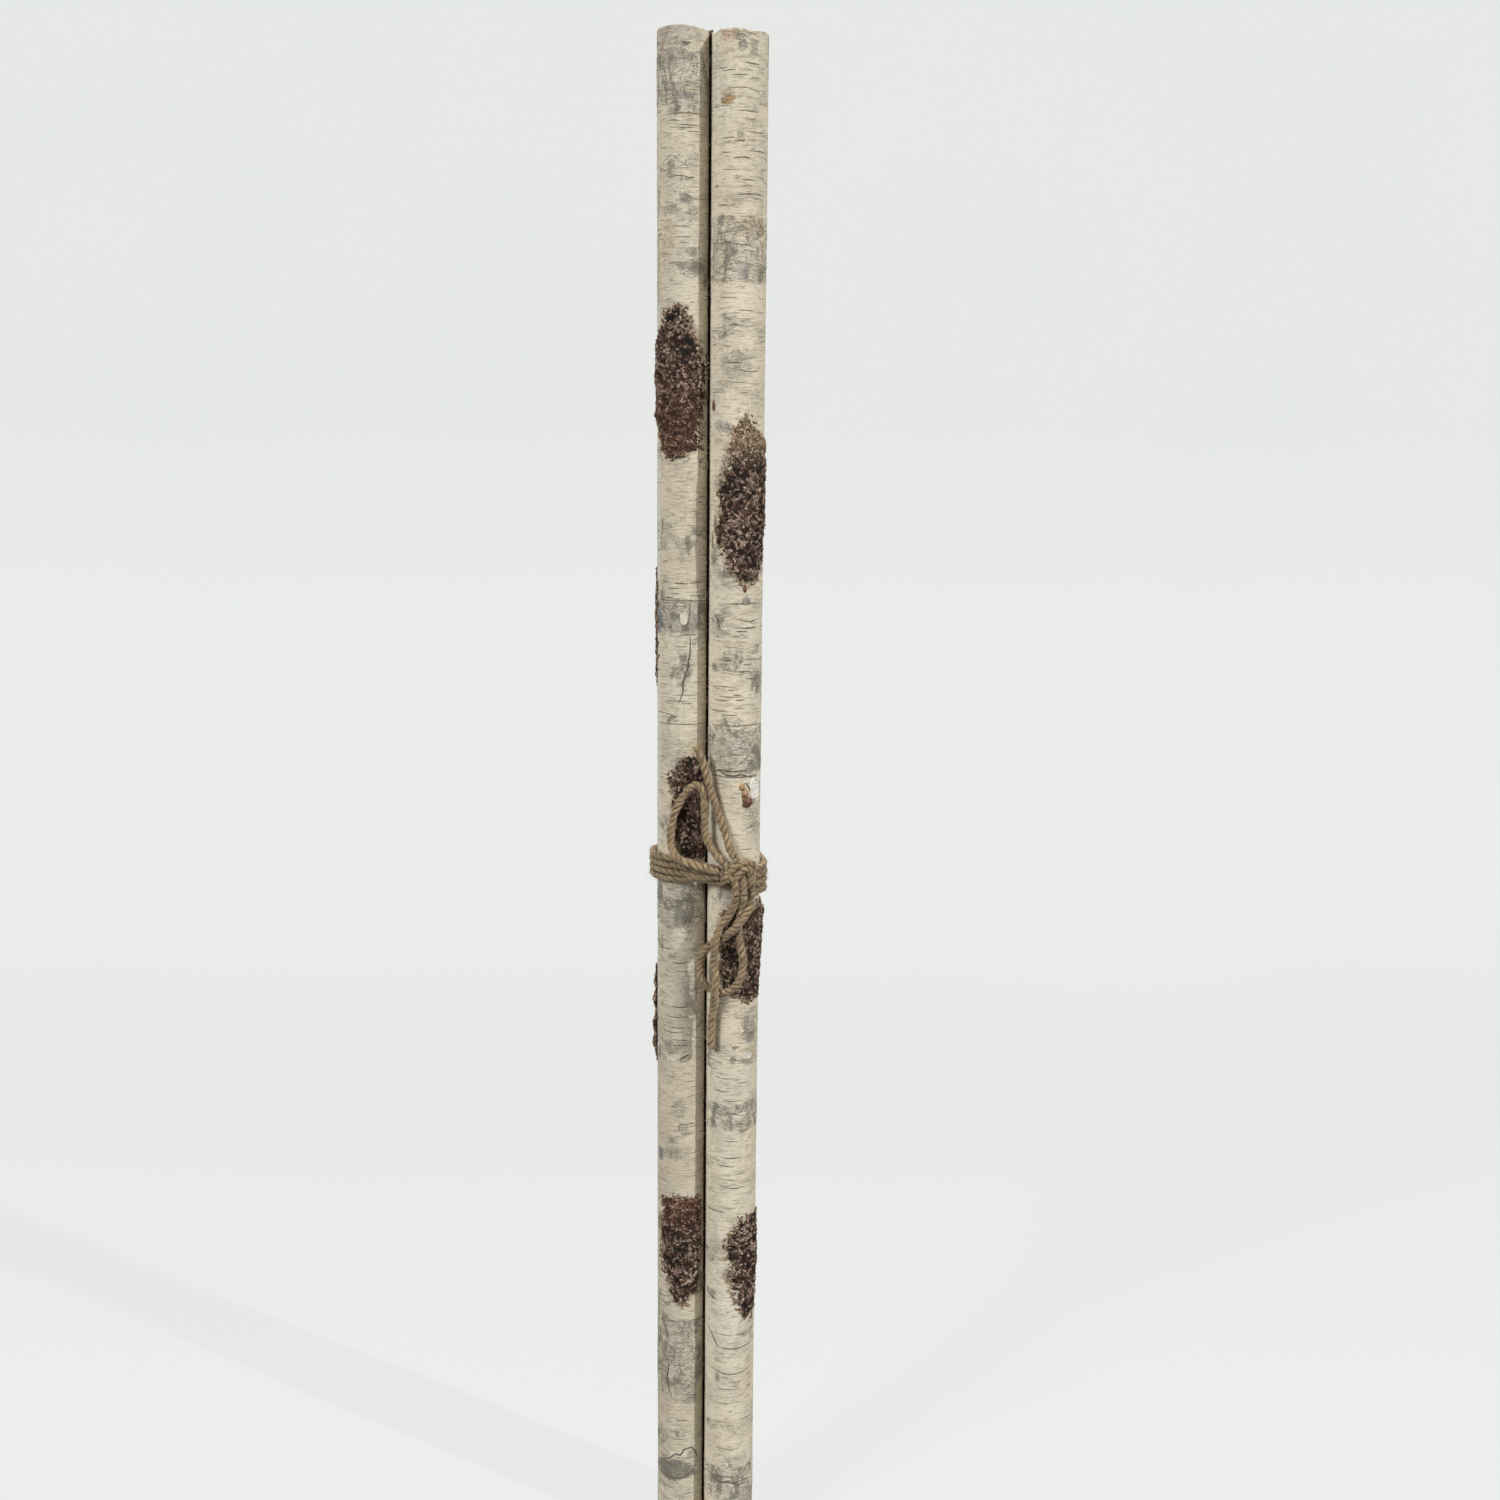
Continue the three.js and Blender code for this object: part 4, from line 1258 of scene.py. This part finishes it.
def frayed_end(tail, rng):
    """Longer hairs that spread from the end of a tail."""
    tip = tail[-1]
    beyond = tip - tail[-4]
    beyond = beyond / np.linalg.norm(beyond)
    hairs = []
    for _ in range(FRAYED_FIBRES):
        spread = rng.normal(0, 0.35, 3) * [1, 0.5, 1]
        start = tip - beyond * 2 + rng.normal(0, 0.8, 3) * [1, 0.6, 1]
        ahead = beyond + spread
        length = rng.uniform(*FRAYED_FIBRE)
        hairs.append(fibre_tube(start, ahead / np.linalg.norm(ahead), spread, length, rng))
    return hairs


def make_fibres(routes, material):
    """Fuzz along every length of twine, and the frayed end of the upper tail, which is the first route."""
    rng = np.random.default_rng(FIBRE_SEED)
    hairs = [hair for route, diameter in routes for hair in twine_fuzz(route, diameter, rng)]
    hairs += frayed_end(routes[0][0], rng)
    faces = tube_faces(FIBRE_JOINTS, FIBRE_SIDES)
    gathered = Gathered()
    for hair in hairs:
        gathered.add(hair, faces)
    gathered.piece("twine_fibres", material, "jute_twine")


def make_twine():
    material = twine_finish()
    routes = [smooth_route(corners) for corners in CORD_ROUTES.values()]
    wraps = wrap_route()
    strands = [smooth_route(corners) for corners in KNOT_STRANDS]
    every_route = [*routes, wraps, *strands]
    for seed, (name, route) in enumerate(zip(CORD_ROUTES, routes)):
        piece = twine_piece(name, [route], FLUFFED_TWINE, material, seed, every_route)
    twine_piece("twine_wraps", [wraps], PRESSED_TWINE, material, 7, every_route)
    twine_piece("twine_knot", strands, FLUFFED_TWINE, material, 9, every_route)
    fuzzy = [(route, FLUFFED_TWINE) for route in [*routes, *strands]] + [(wraps, PRESSED_TWINE)]
    make_fibres(fuzzy, fibre_finish())


# Bark.


def stain_cover(name, angle, height, stain):
    """How fully one stain covers each place: 1 inside, 0 outside, with a wavering rim."""
    level, middle, tall, wide = stain[:4]
    upright = np.abs(height - level) / tall
    sideways = np.abs(turn_between(angle, middle)) / wide
    distance = (upright ** STAIN_SQUARENESS + sideways ** STAIN_SQUARENESS) ** (1 / STAIN_SQUARENESS)
    waver = STAIN_WAVER * swing("stain_rims", angle, height, POLES[name]["seed"])
    return between(distance + waver, 1.25, 0.65)


def own_colour(name, angle, height):
    """The bark's cream, a little darker or warmer from place to place."""
    seed = POLES[name]["seed"]
    tint = skin_noise("tints", angle, height, seed)[..., None]
    warm = skin_noise("warmth", angle, height, seed)[..., None]
    cream = np.array(CREAM) * (1.05 - 0.12 * tint) * POLES[name]["paleness"]
    return cream + np.array(WARM_SHIFT) * (warm - 0.5)


def stain_layers(name, angle, height, top, cloudy, streaky):
    """Every stain as [cover, colour, strength]: the top's rim, rims of rough bark, marks, then painted shade
    in the grooves.
    """
    rim = between(height, top - 4.5, top - 0.5) * (0.3 + 0.9 * cloudy)
    layers = [[rim, "brown", 0.6]]
    for outline in POLES[name]["crusts"].values():
        halo = between(crust_reach(outline, angle, height), -3.6, -0.4) * between(streaky + cloudy, 0.7, 1.1)
        layers.append([halo, "brown", 0.5])
    layers += [[stain_cover(name, angle, height, stain), *stain[4:]] for stain in POLES[name]["stains"]]
    # Painted shade in the grooves where this pole touches the others: brown further out, near black close in.
    for touching in touching_angles(name):
        away = np.abs(turn_between(angle, touching)) + 5 * (cloudy - 0.5)
        layers.append([between(away, GROOVE_SHADE_OUTER, GROOVE_FADE), "groove_shade_brown", 0.3])
        layers.append([between(away, GROOVE_FADE, GROOVE_REACH), "groove_shade_black", 0.92])
    return layers


def knot_distance(name, angle, height):
    """How many of its own radii each place is from the nearest knot, up to the reach of one."""
    nearest = np.full(height.shape, KNOT_REACH)
    for level, middle, reach in POLES[name]["knots"]:
        across = np.radians(turn_between(angle, middle)) * POLE_RADIUS
        nearest = np.minimum(nearest, np.hypot(across * KNOT_SQUASH, height - level) / reach)
    return nearest


def bark_looks(name, angle, height, top):
    """Colours and numbers for the bark's material: its own colour, stains with painted light and shade among
    them, mottling and knots.
    """
    colour = own_colour(name, angle, height)
    cloudy = skin_noise("clouds", angle, height, POLES[name]["seed"])
    streaky = skin_noise("streaks", angle, height, POLES[name]["seed"])
    in_ring = ring_share(name, height)
    cover = np.maximum(between(cloudy, 0.58, 0.8), between(streaky, 0.62, 0.8)) * 0.9
    cover = np.maximum(cover, in_ring * (0.35 + 0.5 * cloudy))
    mottle = np.maximum(0.9 * in_ring, between(cloudy, 0.58, 0.8))
    strength = np.full(cover.shape, 0.5)
    stain_colour = np.array(STAIN_COLOURS["grey"]) + 0 * colour
    for layer, key, share in stain_layers(name, angle, height, top, cloudy, streaky):
        over = (layer > 0.25 * cover) * between(layer, 0, 0.35)
        stain_colour = stain_colour * (1 - over[..., None]) + np.array(STAIN_COLOURS[key]) * over[..., None]
        strength = strength * (1 - over) + share * over
        cover = np.maximum(cover, layer)
        if key not in PLAIN_STAINS:
            mottle = np.maximum(mottle, 0.7 * layer * share)
    knot = knot_distance(name, angle, height)
    numbers = {"stain": cover, "strength": strength, "mottle": mottle, "knot": knot}
    return {"bark_colour": colour, "stain_colour": stain_colour}, numbers


def pole_rings(name, angles, top):
    """Radius and height of every ring of a trunk, from the middle of its foot to the middle of its top."""
    pole = POLES[name]
    angle, height = np.meshgrid(angles, np.linspace(0.5, top, round(top / pole["row"])))
    radius = bark_radius(name, angle, height)
    ragged = RAGGED_DEPTH * skin_noise("ragged_top", angles, angles * 0, pole["seed"]) ** 1.5
    low = top - RAGGED_ZONE
    height = np.where(height > low, low + (height - low) * (RAGGED_ZONE - ragged) / RAGGED_ZONE, height)
    rim = height[-1]
    worn = top - RAGGED_DEPTH * 0.8 - CAP_SINK
    inner = radius[-1] - RIM_BARK
    flat = np.ones(BARK_COLUMNS)
    foot = [share * POLE_RADIUS * flat for share in SAWN_RINGS]
    crown = [np.minimum(share * POLE_RADIUS, inner - 0.2) for share in SAWN_RINGS[::-1]]
    radii = [*foot, radius[0] - 0.45, *radius, radius[-1] - 0.35, inner, *crown]
    heights = [0 * flat] * (len(foot) + 1)
    heights += [*height, rim - 0.05, np.minimum(rim - 0.15, worn + 0.3)]
    heights += [worn * flat] * len(crown)
    return np.array(radii), np.array(heights)


def make_pole(name, bark, sawn):
    """A closed trunk of rings, with bark round it and sawn wood on its ends."""
    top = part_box(f"pole_{name}")[1].z / MM
    angles = np.arange(BARK_COLUMNS) * 360 / BARK_COLUMNS
    radius, height = pole_rings(name, angles, top)
    faces = tube_faces(len(radius), BARK_COLUMNS)
    points = on_pole(name, angles[None, :], radius, height)
    piece = mesh_piece(f"bark_{name}", points, faces, bark)
    piece.data.materials.append(sawn)
    index = np.zeros(len(faces), dtype=np.int32)
    index[:len(SAWN_RINGS) * BARK_COLUMNS] = 1
    index[(len(radius) - len(SAWN_RINGS) - 2) * BARK_COLUMNS:] = 1
    piece.data.polygons.foreach_set("material_index", index)
    colours, numbers = bark_looks(name, angles[None, :] + 0 * radius, height, top)
    for layer, values in colours.items():
        add_colour(piece, layer, values)
    for layer, values in numbers.items():
        add_number(piece, layer, values)
    add_number(piece, "from_axis", radius)
    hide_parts(f"pole_{name}")


# Rough bark.


def nearest_grains(across, up, size, seed):
    """The grain at each place: how deep inside it the place is, its middle and a random number of its own."""
    column = np.floor(across / size)
    row = np.floor(up / size)
    first = np.full(across.shape, 1e9)
    second = np.full(across.shape, 1e9)
    middle_across, middle_up, tone = (np.zeros(across.shape) for _ in range(3))
    for side in (-1, 0, 1):
        for level in (-1, 0, 1):
            c = column + side
            r = row + level
            at_across = (c + scatter(c, r, seed)) * size
            at_up = (r + scatter(c, r, seed + 5)) * size
            own = scatter(c, r, seed + 9)
            lie = scatter(c, r, seed + 13) * np.pi
            away_across = across - at_across
            away_up = up - at_up
            along = away_across * np.cos(lie) + away_up * np.sin(lie)
            beside = away_up * np.cos(lie) - away_across * np.sin(lie)
            distance = np.hypot(along * GRAIN_LONG, beside / GRAIN_LONG) * (0.75 + 0.5 * own)
            nearer = distance < first
            second = np.where(nearer, first, np.minimum(second, distance))
            first = np.where(nearer, distance, first)
            middle_across = np.where(nearer, at_across, middle_across)
            middle_up = np.where(nearer, at_up, middle_up)
            tone = np.where(nearer, own, tone)
    inside = np.clip((second - first) / size * 1.7, 0, 1)
    tone = scatter(middle_across * 7.7, middle_up * 3.1, seed + 17) * 0.7 + tone * 0.3
    return inside, middle_across, middle_up, tone


def grain_colours(tone, clump, height, inside, looks):
    """A colour for each grain, warmer at the rim and where the patch turns to rust or tan."""
    place = np.clip((tone - 0.5) * 1.25 + 0.6 * (clump - 0.5) + 0.5, 0, 1)
    colour = np.stack([np.interp(place, GRAIN_TONES, part) for part in GRAIN_COLOURS.T], axis=-1)
    for key, hue in (("rust", RUST), ("tan", TAN)):
        if key in looks:
            start, end = looks[key]
            share = (np.clip((height - start) / (end - start), 0, 1) * 0.8)[..., None]
            colour = colour * (1 - share) + hue * (0.5 + tone[..., None]) * share
    rim = (between(inside, 3.6, 0.4) * between(tone, 0.28, 0.5) * 0.92)[..., None]
    return colour * (1 - rim) + TAN * (0.5 + 0.7 * tone[..., None]) * rim


def crust_grid(pole, outline):
    """Angles and heights of the points of a patch, with a margin round its outline."""
    step = POLES[pole]["grain"]
    margin = math.degrees(CRUST_MARGIN / POLE_RADIUS)
    start = min(row[1] for row in outline) - margin
    end = max(row[2] for row in outline) + margin
    bottom = outline[0][0] - CRUST_MARGIN
    top = outline[-1][0] + CRUST_MARGIN
    columns = round(math.radians(end - start) * POLE_RADIUS / step)
    rows = round((top - bottom) / step)
    return np.meshgrid(np.linspace(start, end, columns), np.linspace(bottom, top, rows))


def crust_rise(angle, height, bulk, depth, tilt, lumps):
    """How far the grains stand out of the bark, with the patch's lumps."""
    for level, middle, reach, extra in lumps:
        away = np.hypot(height - level, np.radians(turn_between(angle, middle)) * POLE_RADIUS) / reach
        bulk = bulk + extra * np.exp(-away ** 2)
    rise = np.clip(bulk, 0.15, None) + 0.85 * depth ** 0.55 - 0.4 + 0.55 * tilt * depth
    limit = CRUST_RISE + 0.35 + max([lump[3] for lump in lumps], default=0)
    return np.clip(rise, -0.15, limit)


def make_crust(pole, part, outline, material, seed):
    """A raised patch of crumbly bark, a skin of grains that dips under the smooth bark at its rim."""
    looks = CRUST_LOOKS.get(f"{pole}_{part}", {})
    angle, height = crust_grid(pole, outline)
    start = angle[0, 0]
    across = np.radians(angle - start) * POLE_RADIUS
    warp = GRAIN_WARP * swing("grain_warps", angle, height, seed)
    depth, at_across, at_up, tone = nearest_grains(across + warp, height - warp, GRAIN_SIZE, seed)
    grain_angle = start + np.degrees((at_across - warp) / POLE_RADIUS)
    clump = skin_noise("grain_clumps", grain_angle, at_up, seed)
    ragged = RAGGED_RIM * swing("crust_rims", grain_angle, at_up, seed) + RAGGED_GRAINS * (tone - 0.5)
    inside = crust_reach(outline, grain_angle, at_up + warp) + ragged
    if looks.get("airy"):
        inside = inside - AIRY_LOSS * np.maximum(AIRY_TONE - tone, 0)
    present = inside > 0
    tilt = (scatter(at_across, at_up, seed + 21) - 0.5) * (across + warp - at_across)
    tilt = tilt + (scatter(at_up, at_across, seed + 22) - 0.5) * (height - warp - at_up)
    bulk = 0.35 + 0.4 * between(inside, 0, 5) + 1.3 * (clump - 0.5) + 0.5 * (tone - 0.5)
    rise = crust_rise(angle, height, bulk, depth, tilt, looks.get("lumps", []))
    points = on_pole(pole, angle, POLE_RADIUS + np.where(present, rise, -0.4), height).reshape(-1, 3)
    faces = grid_faces(*angle.shape, closed=False)
    faces = faces[present.ravel()[faces].any(axis=1)]
    kept, renumbered = np.unique(faces, return_inverse=True)
    quads = renumbered.reshape(-1, 4)
    piece = mesh_piece(f"rough_bark_{pole}_{part}", points[kept], quads, material)
    # The depth inside each grain also tells the material where to paint shade in the gaps.
    add_number(piece, "depth", np.where(present, depth ** 0.6, 0).ravel()[kept])
    add_number(piece, "tone", tone.ravel()[kept])
    add_colour(piece, "grain_colour", grain_colours(tone, clump, height, inside, looks).reshape(-1, 3)[kept])


# Lenticels, cracks, peeled scraps and stubs.


def ridge_strip(name, angles, heights, thickness):
    """A thin raised line on the bark, tapered to its ends and sunk at its rims."""
    span = np.gradient(np.radians(angles) * POLE_RADIUS)
    climb = np.gradient(heights)
    length = np.hypot(span, climb)
    taper = np.sin(np.linspace(0.05, math.pi - 0.05, len(angles))) ** 0.5 * thickness / 2
    rows = []
    for share, lift in RIDGE_PROFILE:
        off = share * taper
        at_angle = angles - np.degrees(off * climb / length / POLE_RADIUS)
        at_height = heights + off * span / length
        rows.append(on_pole(name, at_angle, bark_radius(name, at_angle, at_height) + lift, at_height))
    return np.array(rows)


def lenticel_line(level, start, end, bow, rng):
    """Angles and heights of the points of one lenticel, bowed and a little unsteady."""
    count = max(6, round(math.radians(end - start) * POLE_RADIUS / LENTICEL_STEP))
    share = np.linspace(0, 1, count)
    wander = 0.18 * np.cumsum(rng.normal(0, 1, count)) / math.sqrt(count)
    return start + (end - start) * share, level + bow * np.sin(math.pi * share) + wander


def measured_lines(name, rng):
    """The listed lenticels and cracks of a pole, each as angles, heights, thickness and fading."""
    pole = POLES[name]
    lines = []
    for level, start, end, thickness, bow in pole["lenticels"]:
        lines.append((*lenticel_line(level, start, end, bow, rng), thickness, LENTICEL_FADE))
    for crack in pole["cracks"]:
        levels, turns = np.array(crack, float).T
        share = np.linspace(0, len(crack) - 1, CRACK_STEPS * (len(crack) - 1) + 1)
        heights = np.interp(share, range(len(crack)), levels)
        angles = np.interp(share, range(len(crack)), turns)
        angles = angles + 1.2 * swing("crack_wobble", heights * 7, heights, pole["seed"])
        lines.append((angles, heights, CRACK_WIDTH, 0.0))
    return lines


def scattered_lines(name, rng):
    """Small lenticels all round a pole, as the measured ones are given."""
    lines = []
    for _ in range(CROWD if POLES[name]["lenticels"] else BACK_CROWD):
        level = rng.uniform(*CROWD_HEIGHTS)
        start = rng.uniform(-180, 180)
        wide = rng.choice([rng.uniform(*CROWD_SHORT), rng.uniform(*CROWD_LONG)])
        line = lenticel_line(level, start, start + wide, rng.uniform(-0.5, 0.5), rng)
        lines.append((*line, rng.uniform(*CROWD_THICKNESS), rng.uniform(*CROWD_FADE)))
    return lines


def make_lenticels(name, material):
    """The measured lenticels and cracks of one pole, and smaller ones all round it."""
    rng = np.random.default_rng(POLES[name]["seed"])
    gathered = Gathered()
    for angles, heights, thickness, fade in measured_lines(name, rng) + scattered_lines(name, rng):
        strip = ridge_strip(name, angles, heights, thickness)
        gathered.add(strip, grid_faces(*strip.shape[:2], closed=False).tolist(), fade=fade)
    gathered.piece(f"lenticels_{name}", material, "birch_bark")


def make_peels(material):
    """Thin scraps of outer bark that stand off at one rim."""
    gathered = Gathered()
    side = np.linspace(-1, 1, SCRAP_SIDE)
    up, across = np.meshgrid(side, side, indexing="ij")
    faces = grid_faces(SCRAP_SIDE, SCRAP_SIDE, closed=False).tolist()
    for seed, (name, level, middle, tall, wide, lift, white) in enumerate(PEELS):
        ragged = 1 - 0.3 * skin_noise("scrap_rims", up * 90 + seed * 50, across * 4, seed)
        narrow = np.sqrt(np.clip(1.05 - up ** 2, 0, 1)) * ragged
        angle = middle + across * wide / 2 * narrow
        height = level + up * tall / 2 * ragged
        curl = lift * np.clip(across + 0.2, 0, 2) ** 2 / 1.4
        radius = bark_radius(name, angle, height) + 0.1 + curl
        gathered.add(on_pole(name, angle, radius, height), faces, white=white)
    piece = gathered.piece("peeled_scraps", material, "birch_bark")
    thicken = piece.modifiers.new("thickness", "SOLIDIFY")
    thicken.thickness = SCRAP_THICKNESS * MM


def make_stubs(material):
    """Lumpy knobs where a twig was lost, half sunk in the bark."""
    gathered = Gathered()
    turns = np.linspace(0, 2 * math.pi, STUB_SIDES, endpoint=False)
    tilts = np.linspace(0.06, math.pi - 0.06, STUB_ROWS)
    tilt, turn = np.meshgrid(tilts, turns, indexing="ij")
    faces = tube_faces(STUB_ROWS, STUB_SIDES, downwards=True)
    for seed, (name, level, angle, radius, tall, shade) in enumerate(STUBS):
        lumps = radius * (0.8 + 0.4 * skin_noise("stub_lumps", np.degrees(turn), tilt * 3, seed))
        middle = on_pole(name, float(angle), POLE_RADIUS - 0.45 * radius, float(level))
        flat = [np.sin(tilt) * np.cos(turn), np.sin(tilt) * np.sin(turn)]
        ball = np.stack([*flat, np.cos(tilt) * tall], axis=-1)
        gathered.add(middle + ball * lumps[..., None], faces, shade=shade)
    gathered.piece("twig_stubs", material, "rough_bark")


def dress_poles():
    """Bark, sawn ends, lenticels and rough bark on every pole."""
    bark = bark_finish()
    sawn = sawn_finish()
    crust = crust_finish()
    lenticel = lenticel_finish()
    for name, pole in POLES.items():
        make_pole(name, bark, sawn)
        make_lenticels(name, lenticel)
        for number, (part, outline) in enumerate(pole["crusts"].items()):
            make_crust(name, part, outline, crust, pole["seed"] + CRUST_SEED_STEP * number)


make_camera()
make_twine()
dress_poles()
make_peels(peel_finish())
make_stubs(knob_finish())
for lamp_name, settings in LAMPS.items():
    make_lamp(lamp_name, *settings)
make_sky()
make_floor()
